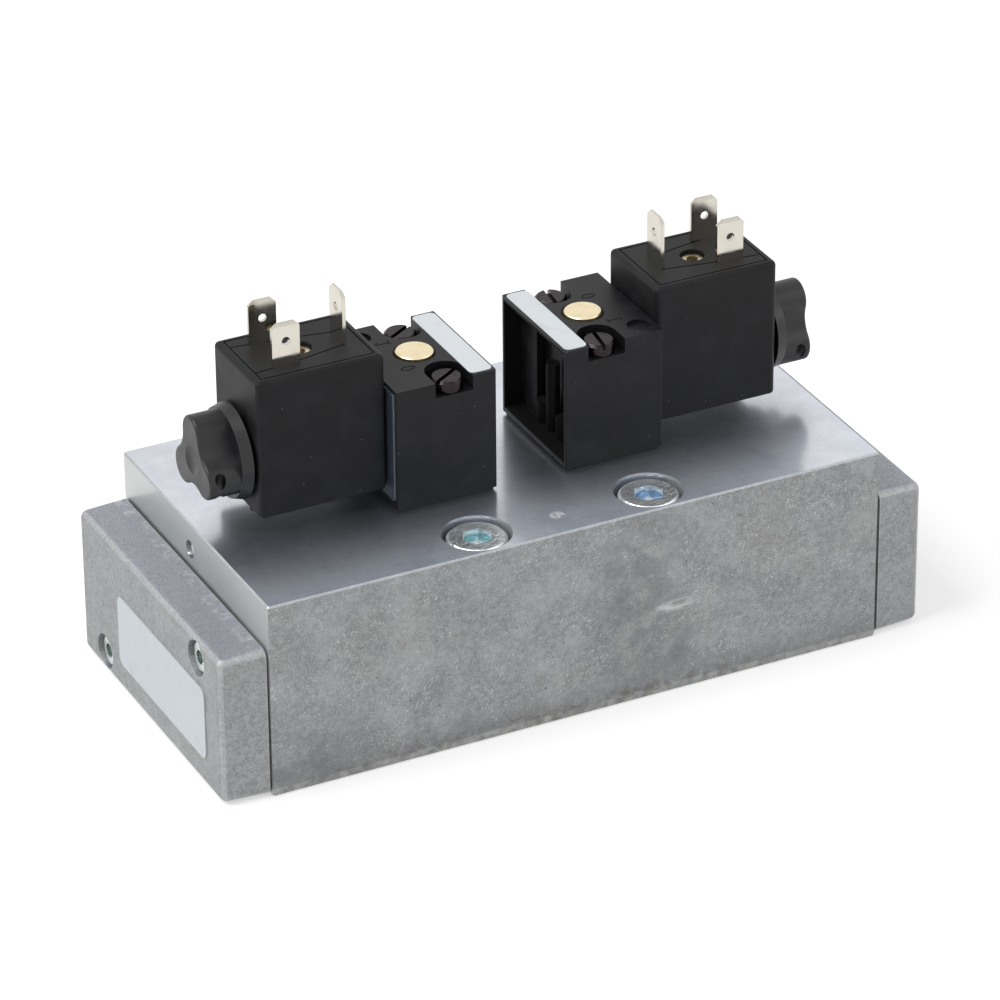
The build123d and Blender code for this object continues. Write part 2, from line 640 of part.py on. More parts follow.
# Pilot block: moulding that is hollow at its inner end and bored for the solenoid at its outer end
with BuildPart() as pilot_block:
    with BuildSketch(level(pilot_base)):
        with Locations((pilot_middle, PILOT_Y)):
            Rectangle(PILOT_LENGTH, PILOT_WIDTH)
    extrude(amount=PILOT_HEIGHT)
    fillet(pilot_block.edges().filter_by(Axis.Z), PILOT_EDGE)
    hollow_height = PILOT_HEIGHT - PILOT_WALL - PILOT_FLOOR
    for hollow_width, height, depth in (
        (PILOT_WIDTH - 2 * PILOT_WALL, hollow_height, PILOT_HOLLOW_DEPTH),
        (PILOT_NICHE_WIDTH, PILOT_NICHE_HEIGHT, PILOT_NICHE_DEPTH),
    ):
        with BuildSketch(across(PILOT_INNER_X, PILOT_Y, pilot_base + PILOT_FLOOR)):
            Rectangle(hollow_width, height, align=(Align.CENTER, Align.MIN))
        extrude(amount=depth, mode=Mode.SUBTRACT)
    for step, height in ((-1, SHORT_POST_HEIGHT), (0, TALL_POST_HEIGHT), (1, SHORT_POST_HEIGHT)):
        with BuildSketch(level(pilot_base)):
            with Locations((POST_X, PILOT_Y + step * POST_PITCH)):
                Circle(POST_DIAMETER / 2)
        extrude(amount=PILOT_FLOOR + height)
    for side in (-1, 1):
        with BuildSketch(level(pilot_top)):
            pocket_run = PILOT_WIDTH / 2 - POCKET_Y
            with Locations((PILOT_SCREW_X, PILOT_Y + side * POCKET_Y)):
                Circle(POCKET_RADIUS)
            with Locations((PILOT_SCREW_X, PILOT_Y + side * (POCKET_Y + pocket_run / 2))):
                Rectangle(2 * POCKET_RADIUS, pocket_run)
        extrude(amount=-POCKET_DEPTH, mode=Mode.SUBTRACT)
    with BuildSketch(level(pilot_base)):
        with Locations(*pilot_screw_places):
            Circle(PILOT_SCREW_DIAMETER / 2 + PILOT_SCREW_PLAY)
    extrude(amount=PILOT_HEIGHT, mode=Mode.SUBTRACT)
    with BuildSketch(level(pilot_top)):
        with Locations((DIMPLE_X, PILOT_Y - DIMPLE_Y)):
            Circle(DIMPLE_DIAMETER / 2)
    extrude(amount=-DIMPLE_DEPTH, mode=Mode.SUBTRACT)
    with BuildSketch(across_solenoid(pilot_outer)):
        with Locations((0, yoke_middle)):
            width = YOKE_WIDTH + 2 * STATIC_CLEARANCE
            height = YOKE_HEIGHT + 2 * STATIC_CLEARANCE
            RectangleRounded(width, height, YOKE_CORNER)
    extrude(amount=-YOKE_POCKET_DEPTH, mode=Mode.SUBTRACT)
    for radius, start, depth in (
        (TUBE_FLANGE_DIAMETER / 2 + STATIC_CLEARANCE, yoke_inner, TUBE_FLANGE),
        (CHAMBER_DIAMETER / 2, flange_inner, CHAMBER_DEPTH),
        (NOZZLE_DIAMETER / 2, chamber_inner, NOZZLE_BORE_DEPTH),
    ):
        with BuildSketch(across_solenoid(start)):
            Circle(radius)
        extrude(amount=-depth, mode=Mode.SUBTRACT)
    with BuildSketch(level(pilot_base)):
        with Locations(supply_place, outlet_place):
            Circle(PASSAGE_DIAMETER / 2)
    extrude(amount=SOLENOID_RISE, mode=Mode.SUBTRACT)
    for radius, depth in (
        (OVERRIDE_DIAMETER / 2 + RUNNING_CLEARANCE, OVERRIDE_BORE_DEPTH),
        (OVERRIDE_STEM / 2 + RUNNING_CLEARANCE, OVERRIDE_BORE_DEPTH + OVERRIDE_GUIDE),
    ):
        with BuildSketch(level(pilot_top)):
            with Locations((OVERRIDE_X, PILOT_Y)):
                Circle(radius)
        extrude(amount=-depth, mode=Mode.SUBTRACT)
    with BuildSketch(level(pilot_top)):
        with Locations((OVERRIDE_X, PILOT_Y)):
            Circle(OVERRIDE_DIAMETER / 2 + RUNNING_CLEARANCE + OVERRIDE_RIM)
    with BuildSketch(level(pilot_top - OVERRIDE_RIM)):
        with Locations((OVERRIDE_X, PILOT_Y)):
            Circle(OVERRIDE_DIAMETER / 2 + RUNNING_CLEARANCE)
    loft(mode=Mode.SUBTRACT)
save_pair(pilot_block.part, "pilot_block", pilot_turn)

# Pilot gasket: thin rubber sheet under the block
with BuildPart() as pilot_gasket:
    with BuildSketch(level(BODY_HEIGHT)):
        with Locations((pilot_middle, PILOT_Y)):
            Rectangle(PILOT_LENGTH - 2 * PILOT_GASKET_INSET, PILOT_WIDTH - 2 * PILOT_GASKET_INSET)
        with Locations(*pilot_screw_places):
            Circle(PILOT_SCREW_DIAMETER / 2 + PILOT_SCREW_PLAY, mode=Mode.SUBTRACT)
        with Locations(supply_place, outlet_place):
            Circle(PASSAGE_DIAMETER / 2, mode=Mode.SUBTRACT)
    extrude(amount=PILOT_GASKET)
save_pair(pilot_gasket.part, "pilot_gasket", pilot_turn)

# Pilot screws: slotted cheese heads on the pocket floors, each pair left at its own angle
screw_seat = pilot_top - POCKET_DEPTH
for side, name in ((-1, "left"), (1, "right")):
    places = at_end(side, pilot_screw_places)
    with BuildPart() as pilot_screws:
        with BuildSketch(level(screw_seat)):
            with Locations(*places):
                Circle(PILOT_SCREW_HEAD / 2)
        extrude(amount=PILOT_SCREW_HEAD_HEIGHT)
        chamfer(pilot_screws.faces().sort_by(Axis.Z)[-2:].edges(), PILOT_SCREW_HEAD_EDGE)
        with BuildSketch(level(screw_seat + PILOT_SCREW_HEAD_HEIGHT)):
            with Locations(*places):
                Rectangle(2 * PILOT_SCREW_HEAD, PILOT_SCREW_SLOT, rotation=PILOT_SCREW_TURNS[name])
        extrude(amount=-PILOT_SCREW_SLOT_DEPTH, mode=Mode.SUBTRACT)
        with BuildSketch(level(screw_seat)):
            with Locations(*places):
                Circle(PILOT_SCREW_DIAMETER / 2 - STATIC_CLEARANCE)
        extrude(amount=BODY_HEIGHT - PILOT_SCREW_GRIP - screw_seat)
    save(pilot_screws.part, f"pilot_screws_{name}")

# Pilot label: plain strip along the inner edge of the top
with BuildPart() as pilot_label:
    with BuildSketch(level(pilot_top)):
        with Locations((PILOT_INNER_X + LABEL_INSET + LABEL_WIDTH / 2, PILOT_Y)):
            RectangleRounded(LABEL_WIDTH, LABEL_LENGTH, LABEL_CORNER)
    extrude(amount=LABEL_THICKNESS)
save_pair(pilot_label.part, "pilot_label", pilot_turn)

# Override button: brass head just proud of the block, on a stem that is guided below it
head_bottom = pilot_top + OVERRIDE_PROUD - OVERRIDE_HEAD
spring_seat = pilot_top - OVERRIDE_BORE_DEPTH
stem_end = spring_seat - OVERRIDE_GUIDE + OVERRIDE_TRAVEL + STEM_END_GAP
seal_groove = head_bottom + OVERRIDE_SEAL_RISE
seal_inner = OVERRIDE_DIAMETER / 2 - OVERRIDE_SEAL
with BuildPart() as override_button:
    with BuildSketch(level(head_bottom)):
        with Locations((OVERRIDE_X, PILOT_Y)):
            Circle(OVERRIDE_DIAMETER / 2)
    extrude(amount=OVERRIDE_HEAD)
    chamfer(override_button.faces().sort_by(Axis.Z)[-1].edges(), OVERRIDE_EDGE)
    with BuildSketch(level(seal_groove)):
        with Locations((OVERRIDE_X, PILOT_Y)):
            Circle(OVERRIDE_DIAMETER)
            Circle(seal_inner, mode=Mode.SUBTRACT)
    extrude(amount=OVERRIDE_SEAL, mode=Mode.SUBTRACT)
    with BuildSketch(level(head_bottom)):
        with Locations((OVERRIDE_X, PILOT_Y)):
            Circle(OVERRIDE_STEM / 2)
    extrude(amount=stem_end - head_bottom)
save_pair(override_button.part, "override_button", pilot_turn)

with BuildPart() as override_seal:
    with BuildSketch(level(seal_groove + STATIC_CLEARANCE)):
        with Locations((OVERRIDE_X, PILOT_Y)):
            Circle(OVERRIDE_DIAMETER / 2)
            Circle(seal_inner + STATIC_CLEARANCE, mode=Mode.SUBTRACT)
    extrude(amount=OVERRIDE_SEAL - 2 * STATIC_CLEARANCE)
save_pair(override_seal.part, "override_seal", pilot_turn)

# Override spring: between the head and the floor of its bore
with BuildPart() as override_spring:
    lift = OVERRIDE_SPRING_WIRE / 2 + RUNNING_CLEARANCE
    rise = head_bottom - spring_seat - 2 * lift
    with BuildLine() as spring_path:
        Helix(
            rise / OVERRIDE_SPRING_TURNS,
            rise,
            (OVERRIDE_SPRING - OVERRIDE_SPRING_WIRE) / 2,
            center=(OVERRIDE_X, PILOT_Y, spring_seat + lift),
        )
    with BuildSketch(Plane(spring_path.line @ 0, z_dir=spring_path.line % 0)):
        RegularPolygon(OVERRIDE_SPRING_WIRE / 2, 6)
    sweep(path=spring_path.line, is_frenet=True)
save_pair(override_spring.part, "override_spring", pilot_turn)

# Yoke plate: flat steel plate that clamps the tube's flange in the block
with BuildPart() as yoke_plate:
    with BuildSketch(across_solenoid(yoke_inner)):
        with Locations((0, yoke_middle)):
            RectangleRounded(YOKE_WIDTH, YOKE_HEIGHT, YOKE_CORNER)
        Circle(TUBE_DIAMETER / 2 + STATIC_CLEARANCE, mode=Mode.SUBTRACT)
    extrude(amount=YOKE_THICKNESS)
save_pair(yoke_plate.part, "yoke_plate", pilot_turn)

# Armature tube: thin tube with a flange at the block and a seal groove in the flange's face
tube_groove_inner = CHAMBER_DIAMETER / 2 + TUBE_WALL
with BuildPart() as armature_tube:
    with BuildSketch(across_solenoid(flange_inner)):
        Circle(TUBE_FLANGE_DIAMETER / 2)
    extrude(amount=TUBE_FLANGE)
    with BuildSketch(across_solenoid(flange_inner)):
        Circle(TUBE_DIAMETER / 2)
    extrude(amount=TUBE_LENGTH)
    with BuildSketch(across_solenoid(flange_inner)):
        Circle(tube_groove_inner + TUBE_SEAL)
        Circle(tube_groove_inner, mode=Mode.SUBTRACT)
    extrude(amount=TUBE_SEAL_DEPTH, mode=Mode.SUBTRACT)
    with BuildSketch(across_solenoid(flange_inner)):
        Circle(tube_bore)
    extrude(amount=TUBE_LENGTH, mode=Mode.SUBTRACT)
save_pair(armature_tube.part, "armature_tube", pilot_turn)

# Tube seal: ring in the groove of the flange
with BuildPart() as tube_seal:
    with BuildSketch(across_solenoid(flange_inner)):
        Circle(tube_groove_inner + TUBE_SEAL - STATIC_CLEARANCE)
        Circle(tube_groove_inner + STATIC_CLEARANCE, mode=Mode.SUBTRACT)
    extrude(amount=TUBE_SEAL_DEPTH - STATIC_CLEARANCE)
save_pair(tube_seal.part, "tube_seal", pilot_turn)

# Fixed core: closes the tube and carries the knob on its threaded stud
with BuildPart() as fixed_core:
    with BuildSketch(across_solenoid(core_inner)):
        Circle(tube_bore - STATIC_CLEARANCE)
    extrude(amount=CORE_LENGTH)
    with BuildSketch(across_solenoid(tube_end)):
        Circle(STUD_DIAMETER / 2)
    extrude(amount=STUD_LENGTH)
    chamfer(fixed_core.faces().sort_by(Axis.X)[-1].edges(), STUD_EDGE)
save_pair(fixed_core.part, "fixed_core", pilot_turn)

# Plunger: sliding armature with two relief slots, a poppet in its nose and a spring in its tail
plunger_radius = tube_bore - RUNNING_CLEARANCE
with BuildPart() as plunger:
    with BuildSketch(across_solenoid(plunger_inner)):
        Circle(plunger_radius)
        with Locations((-plunger_radius, 0), (plunger_radius, 0)):
            Rectangle(2 * PLUNGER_SLOT_DEPTH, PLUNGER_SLOT_WIDTH, mode=Mode.SUBTRACT)
    extrude(amount=plunger_outer - plunger_inner)
    with BuildSketch(across_solenoid(plunger_inner)):
        Circle(POPPET_DIAMETER / 2)
    extrude(amount=POPPET_LENGTH - POPPET_STANDOFF, mode=Mode.SUBTRACT)
    with BuildSketch(across_solenoid(plunger_outer)):
        Circle(PLUNGER_SPRING / 2 + PLUNGER_SPRING_PLAY)
    extrude(amount=-PLUNGER_SPRING_DEPTH, mode=Mode.SUBTRACT)
save_pair(plunger.part, "plunger", pilot_turn)

with BuildPart() as plunger_poppet:
    with BuildSketch(across_solenoid(nozzle_face + STATIC_CLEARANCE)):
        Circle(POPPET_DIAMETER / 2 - STATIC_CLEARANCE)
    extrude(amount=POPPET_LENGTH - 2 * STATIC_CLEARANCE)
save_pair(plunger_poppet.part, "plunger_poppet", pilot_turn)

with BuildPart() as plunger_spring:
    spring_start = plunger_outer - PLUNGER_SPRING_DEPTH
    lift = PLUNGER_SPRING_WIRE / 2 + RUNNING_CLEARANCE
    rise = core_inner - spring_start - 2 * lift
    with BuildLine() as spring_path:
        Helix(
            rise / PLUNGER_SPRING_TURNS,
            rise,
            (PLUNGER_SPRING - PLUNGER_SPRING_WIRE) / 2,
            center=(spring_start + lift, PILOT_Y, axis_z),
            direction=(1, 0, 0),
        )
    with BuildSketch(Plane(spring_path.line @ 0, z_dir=spring_path.line % 0)):
        RegularPolygon(PLUNGER_SPRING_WIRE / 2, 6)
    sweep(path=spring_path.line, is_frenet=True)
save_pair(plunger_spring.part, "plunger_spring", pilot_turn)

# Pilot nozzle: brass seat pressed into the block, with its orifice along the axis
with BuildPart() as pilot_nozzle:
    with BuildSketch(across_solenoid(nozzle_back)):
        Circle(NOZZLE_DIAMETER / 2 - STATIC_CLEARANCE)
    extrude(amount=NOZZLE_LENGTH)
    with BuildSketch(across_solenoid(chamber_inner)):
        Circle(NOZZLE_LIP_DIAMETER / 2)
    extrude(amount=NOZZLE_LIP)
    with BuildSketch(across_solenoid(nozzle_back)):
        Circle(NOZZLE_ORIFICE / 2)
    extrude(amount=NOZZLE_LENGTH + NOZZLE_LIP, mode=Mode.SUBTRACT)
save_pair(pilot_nozzle.part, "pilot_nozzle", pilot_turn)

# Coil: moulded block round the winding, with a bore for the tube and seats for its metal parts
power_blade_places = [
    (POWER_BLADE_X, PILOT_Y - POWER_BLADE_PITCH / 2),
    (POWER_BLADE_X, PILOT_Y + POWER_BLADE_PITCH / 2),
]
blade_slot = BLADE_THICKNESS + 2 * STATIC_CLEARANCE
blade_slot_length = BLADE_WIDTH + 2 * STATIC_CLEARANCE
with BuildPart() as coil:
    with BuildSketch(level(coil_bottom)):
        with Locations((coil_middle, PILOT_Y)):
            RectangleRounded(COIL_LENGTH, COIL_WIDTH, COIL_CORNER)
    extrude(amount=COIL_HEIGHT)
    fillet(coil.faces().sort_by(Axis.Z)[-1].edges(), COIL_TOP_EDGE)
    fillet(coil.faces().sort_by(Axis.Z)[0].edges(), COIL_BOTTOM_EDGE)
    with BuildSketch(level(coil_bottom)):
        with Locations((coil_outer - PIP_INSET, PILOT_Y + PIP_Y)):
            Circle(PIP_DIAMETER / 2)
    extrude(amount=-PIP_HEIGHT)
    with BuildSketch(across_solenoid(coil_inner)):
        Circle(TUBE_DIAMETER / 2 + STATIC_CLEARANCE)
    extrude(amount=COIL_LENGTH, mode=Mode.SUBTRACT)
    with BuildSketch(level(coil_top)):
        with Locations(*power_blade_places):
            Rectangle(blade_slot_length, blade_slot)
        with Locations((EARTH_BLADE_X, PILOT_Y)):
            Rectangle(blade_slot, blade_slot_length)
    extrude(amount=-BLADE_ROOT, mode=Mode.SUBTRACT)
    groove_length = COIL_LENGTH - 2 * TOP_GROOVE_INSET
    groove_width = COIL_WIDTH - 2 * TOP_GROOVE_INSET
    with BuildSketch(level(coil_top)):
        with Locations((coil_middle, PILOT_Y)):
            Rectangle(groove_length + TOP_GROOVE_WIDTH, groove_width + TOP_GROOVE_WIDTH)
            Rectangle(
                groove_length - TOP_GROOVE_WIDTH, groove_width - TOP_GROOVE_WIDTH, mode=Mode.SUBTRACT
            )
        for side in (-1, 1):
            with BuildLine():
                Polyline(
                    (EARTH_BLADE_X, PILOT_Y + side * SPREAD_START),
                    (SPREAD_BEND_X, PILOT_Y + side * SPREAD_BEND),
                    (coil_outer - TOP_GROOVE_INSET, PILOT_Y + side * SPREAD_END),
                )
            trace(line_width=TOP_GROOVE_WIDTH)
    extrude(amount=-TOP_GROOVE_DEPTH, mode=Mode.SUBTRACT)
    for diameter, depth in (
        (INSERT_RECESS_DIAMETER, INSERT_RECESS_DEPTH),
        (INSERT_DIAMETER, INSERT_RECESS_DEPTH + INSERT_LENGTH),
    ):
        with BuildSketch(level(coil_top)):
            with Locations((INSERT_X, PILOT_Y)):
                Circle(diameter / 2)
        extrude(amount=-depth, mode=Mode.SUBTRACT)
save_pair(coil.part, "coil", pilot_turn)

# Blades: flat connector tongues with cut corners, a thinned tip and a round hole
with BuildPart() as power_blades:
    with BuildSketch(level(coil_top - BLADE_ROOT)):
        with Locations(*power_blade_places):
            Rectangle(BLADE_WIDTH, BLADE_THICKNESS)
    extrude(amount=BLADE_ROOT + POWER_BLADE_HEIGHT)
    chamfer(power_blades.faces().sort_by(Axis.Z)[-2:].edges().filter_by(Axis.Y), BLADE_CHAMFER)
    for blade in (0, 1):
        tip = power_blades.faces().sort_by(Axis.Z)[-2:].sort_by(Axis.Y)[blade]
        chamfer(tip.edges().filter_by(Axis.X), BLADE_TIP, BLADE_TIP_REACH, reference=tip)
    with BuildSketch(Plane.XZ.offset(-PILOT_Y)):
        with Locations((POWER_BLADE_X, coil_top + POWER_BLADE_HEIGHT - BLADE_HOLE_BELOW_TIP)):
            Circle(BLADE_HOLE / 2)
    extrude(amount=POWER_BLADE_PITCH, both=True, mode=Mode.SUBTRACT)
save_pair(power_blades.part, "power_blades", pilot_turn)

with BuildPart() as earth_blade:
    with BuildSketch(level(coil_top - BLADE_ROOT)):
        with Locations((EARTH_BLADE_X, PILOT_Y)):
            Rectangle(BLADE_THICKNESS, BLADE_WIDTH)
    extrude(amount=BLADE_ROOT + EARTH_BLADE_HEIGHT)
    chamfer(earth_blade.faces().sort_by(Axis.Z)[-1].edges().filter_by(Axis.X), BLADE_CHAMFER)
    tip = earth_blade.faces().sort_by(Axis.Z)[-1]
    chamfer(tip.edges().filter_by(Axis.Y), BLADE_TIP, BLADE_TIP_REACH, reference=tip)
    earth_hole_z = coil_top + EARTH_BLADE_HEIGHT - BLADE_HOLE_BELOW_TIP
    with BuildSketch(across(EARTH_BLADE_X, PILOT_Y, earth_hole_z)):
        Circle(BLADE_HOLE / 2)
    extrude(amount=BLADE_THICKNESS, both=True, mode=Mode.SUBTRACT)
save_pair(earth_blade.part, "earth_blade", pilot_turn)

# Terminal insert: threaded brass bush for the connector's centre screw
with BuildPart() as terminal_insert:
    with BuildSketch(level(coil_top - INSERT_RECESS_DEPTH)):
        with Locations((INSERT_X, PILOT_Y)):
            Circle(INSERT_DIAMETER / 2 - STATIC_CLEARANCE)
            Circle(INSERT_HOLE / 2, mode=Mode.SUBTRACT)
    extrude(amount=-INSERT_LENGTH)
save_pair(terminal_insert.part, "terminal_insert", pilot_turn)

# Coil seals: a flat ring at each end of the coil
with BuildPart() as coil_seals:
    for start, thickness in ((yoke_outer, INNER_SEAL), (coil_outer, OUTER_SEAL)):
        with BuildSketch(across_solenoid(start)):
            Circle(COIL_SEAL_DIAMETER / 2)
            Circle(TUBE_DIAMETER / 2 + STATIC_CLEARANCE, mode=Mode.SUBTRACT)
        extrude(amount=thickness)
save_pair(coil_seals.part, "coil_seals", pilot_turn)

# Retaining knob: tapered round flange under a hub of three lobes. Between two lobes
# the outline is a hollow arc that runs into both of them without a corner.
lobe_step = 360 / KNOB_LOBES
lobe_place = KNOB_LOBE_REACH - KNOB_LOBE_RADIUS
waist_step = KNOB_WAIST - KNOB_LOBE_RADIUS
half_step = pi / KNOB_LOBES
waist_place = (lobe_place**2 - waist_step**2) / (2 * (lobe_place * cos(half_step) - waist_step))
waist_sweep = degrees(
    atan2(lobe_place * sin(half_step), waist_place - lobe_place * cos(half_step))
)
lobe_sweep = waist_sweep + lobe_step / 2
hub_start = knob_inner + KNOB_FLANGE
hole_turn = 90 + lobe_step
dish_radius = (KNOB_DISH_RADIUS**2 + KNOB_DISH_DEPTH**2) / (2 * KNOB_DISH_DEPTH)
with BuildPart() as retaining_knob:
    with BuildSketch(across_solenoid(knob_inner)):
        Circle(KNOB_FLANGE_DIAMETER / 2)
    with BuildSketch(across_solenoid(hub_start)):
        Circle(KNOB_FLANGE_FACE / 2)
    loft()
    with BuildSketch(across_solenoid(hub_start)):
        with BuildLine():
            for lobe in range(KNOB_LOBES):
                turn = 90 + lobe * lobe_step
                lobe_at = Vector(lobe_place, 0).rotate(Axis.Z, turn)
                CenterArc(lobe_at, KNOB_LOBE_RADIUS, turn - lobe_sweep, 2 * lobe_sweep)
                turn = turn + lobe_step / 2
                waist_at = Vector(waist_place, 0).rotate(Axis.Z, turn)
                CenterArc(waist_at, waist_place - KNOB_WAIST, turn + 180 + waist_sweep, -2 * waist_sweep)
        make_face()
    extrude(amount=KNOB_LENGTH - KNOB_FLANGE)
    fillet(retaining_knob.faces().sort_by(Axis.X)[-1].edges(), KNOB_EDGE)
    with Locations((knob_outer + dish_radius - KNOB_DISH_DEPTH, PILOT_Y, axis_z)):
        Sphere(dish_radius, mode=Mode.SUBTRACT)
    with BuildSketch(across_solenoid(knob_inner)):
        Circle(STUD_DIAMETER / 2 + RUNNING_CLEARANCE)
    stud_end = tube_end + STUD_LENGTH
    extrude(amount=stud_end + KNOB_STUD_GAP - knob_inner, mode=Mode.SUBTRACT)
    hole_at = Vector(KNOB_HOLE_REACH, 0).rotate(Axis.Z, hole_turn)
    hole_along = Vector(0, 1).rotate(Axis.Z, hole_turn)
    hole_centre = Vector(knob_outer - KNOB_HOLE_FROM_FACE, PILOT_Y + hole_at.X, axis_z + hole_at.Y)
    with BuildSketch(Plane(hole_centre, z_dir=(0, hole_along.X, hole_along.Y))):
        Circle(KNOB_HOLE_DIAMETER / 2)
    extrude(amount=KNOB_LOBE_RADIUS, both=True, mode=Mode.SUBTRACT)
left_knob = retaining_knob.part.rotate(pilot_turn, 180)
save(left_knob.rotate(solenoid_axis, KNOB_TURNS["left"] - lobe_step), "retaining_knob_left")
save(retaining_knob.part.rotate(solenoid_axis, KNOB_TURNS["right"]), "retaining_knob_right")
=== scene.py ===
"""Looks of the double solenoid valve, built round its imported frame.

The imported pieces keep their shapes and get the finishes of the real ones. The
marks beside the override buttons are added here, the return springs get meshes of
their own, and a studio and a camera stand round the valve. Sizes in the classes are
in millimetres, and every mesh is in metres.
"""

import logging
import math
from dataclasses import dataclass
from enum import Enum
from typing import Any

import bmesh
import bpy
from mathutils import Matrix, Vector

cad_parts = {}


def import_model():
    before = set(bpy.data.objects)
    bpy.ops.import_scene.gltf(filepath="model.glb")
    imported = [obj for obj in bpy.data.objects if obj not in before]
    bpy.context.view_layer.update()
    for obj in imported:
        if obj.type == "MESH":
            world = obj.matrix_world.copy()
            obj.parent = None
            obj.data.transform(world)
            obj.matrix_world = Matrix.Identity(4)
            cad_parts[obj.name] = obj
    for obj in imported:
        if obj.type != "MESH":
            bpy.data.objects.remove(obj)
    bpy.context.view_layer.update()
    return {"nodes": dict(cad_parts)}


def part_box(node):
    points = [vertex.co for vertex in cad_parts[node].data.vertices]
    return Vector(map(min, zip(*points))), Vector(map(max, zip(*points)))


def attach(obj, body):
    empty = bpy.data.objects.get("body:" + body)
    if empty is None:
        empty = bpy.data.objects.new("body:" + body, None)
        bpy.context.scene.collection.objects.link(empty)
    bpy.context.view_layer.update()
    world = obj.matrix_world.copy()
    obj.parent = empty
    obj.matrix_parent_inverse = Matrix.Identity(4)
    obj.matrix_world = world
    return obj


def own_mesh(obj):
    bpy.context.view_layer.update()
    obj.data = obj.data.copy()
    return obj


LOG = logging.getLogger("double_solenoid_valve")

MM = 0.001

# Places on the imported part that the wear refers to, in millimetres.
FRONT_Y = -37.0
TOP_Z = 45.3
PILOT_Y = 0.5
END_X = 73.3
COVER_X = 82.5
BOLT_X = 20.1
BOLT_Y = -29.0

Socket = bpy.types.NodeSocket
Triple = tuple[float, float, float]
Keyed = dict[str | int, Any]


class End(Enum):
    """The two ends of the valve, each with the sign of its X."""

    LEFT = -1
    RIGHT = 1

    @property
    def tag(self) -> str:
        """Return the word that ends the names of this end's nodes."""
        return self.name.lower()


def linear(hex_colour: str) -> tuple[float, float, float, float]:
    """Turn an sRGB hex colour into the linear one that shaders take.

    Args:
        hex_colour: colour such as "#a0a1a2".

    Returns:
        Linear red, green, blue and an alpha of one.
    """
    shares = [int(hex_colour[place : place + 2], 16) / 255 for place in (1, 3, 5)]
    red, green, blue = (c / 12.92 if c <= 0.04045 else ((c + 0.055) / 1.055) ** 2.4 for c in shares)
    return red, green, blue, 1.0


def add_node(
    tree: bpy.types.NodeTree,
    kind: str,
    settings: Keyed | None = None,
    links: dict[str | int, Socket] | None = None,
) -> bpy.types.Node:
    """Add a node with its settings and links.

    Args:
        tree: the node tree that it goes into.
        kind: Blender's type of the node.
        settings: values for the node's own properties and for its input sockets.
        links: for each input socket, the output that feeds it.

    Returns:
        The new node.
    """
    node = tree.nodes.new(kind)
    for key, value in (settings or {}).items():
        if isinstance(key, int) or key in node.inputs:
            node.inputs[key].default_value = value
        else:
            setattr(node, key, value)
    for key, source in (links or {}).items():
        tree.links.new(source, node.inputs[key])
    return node


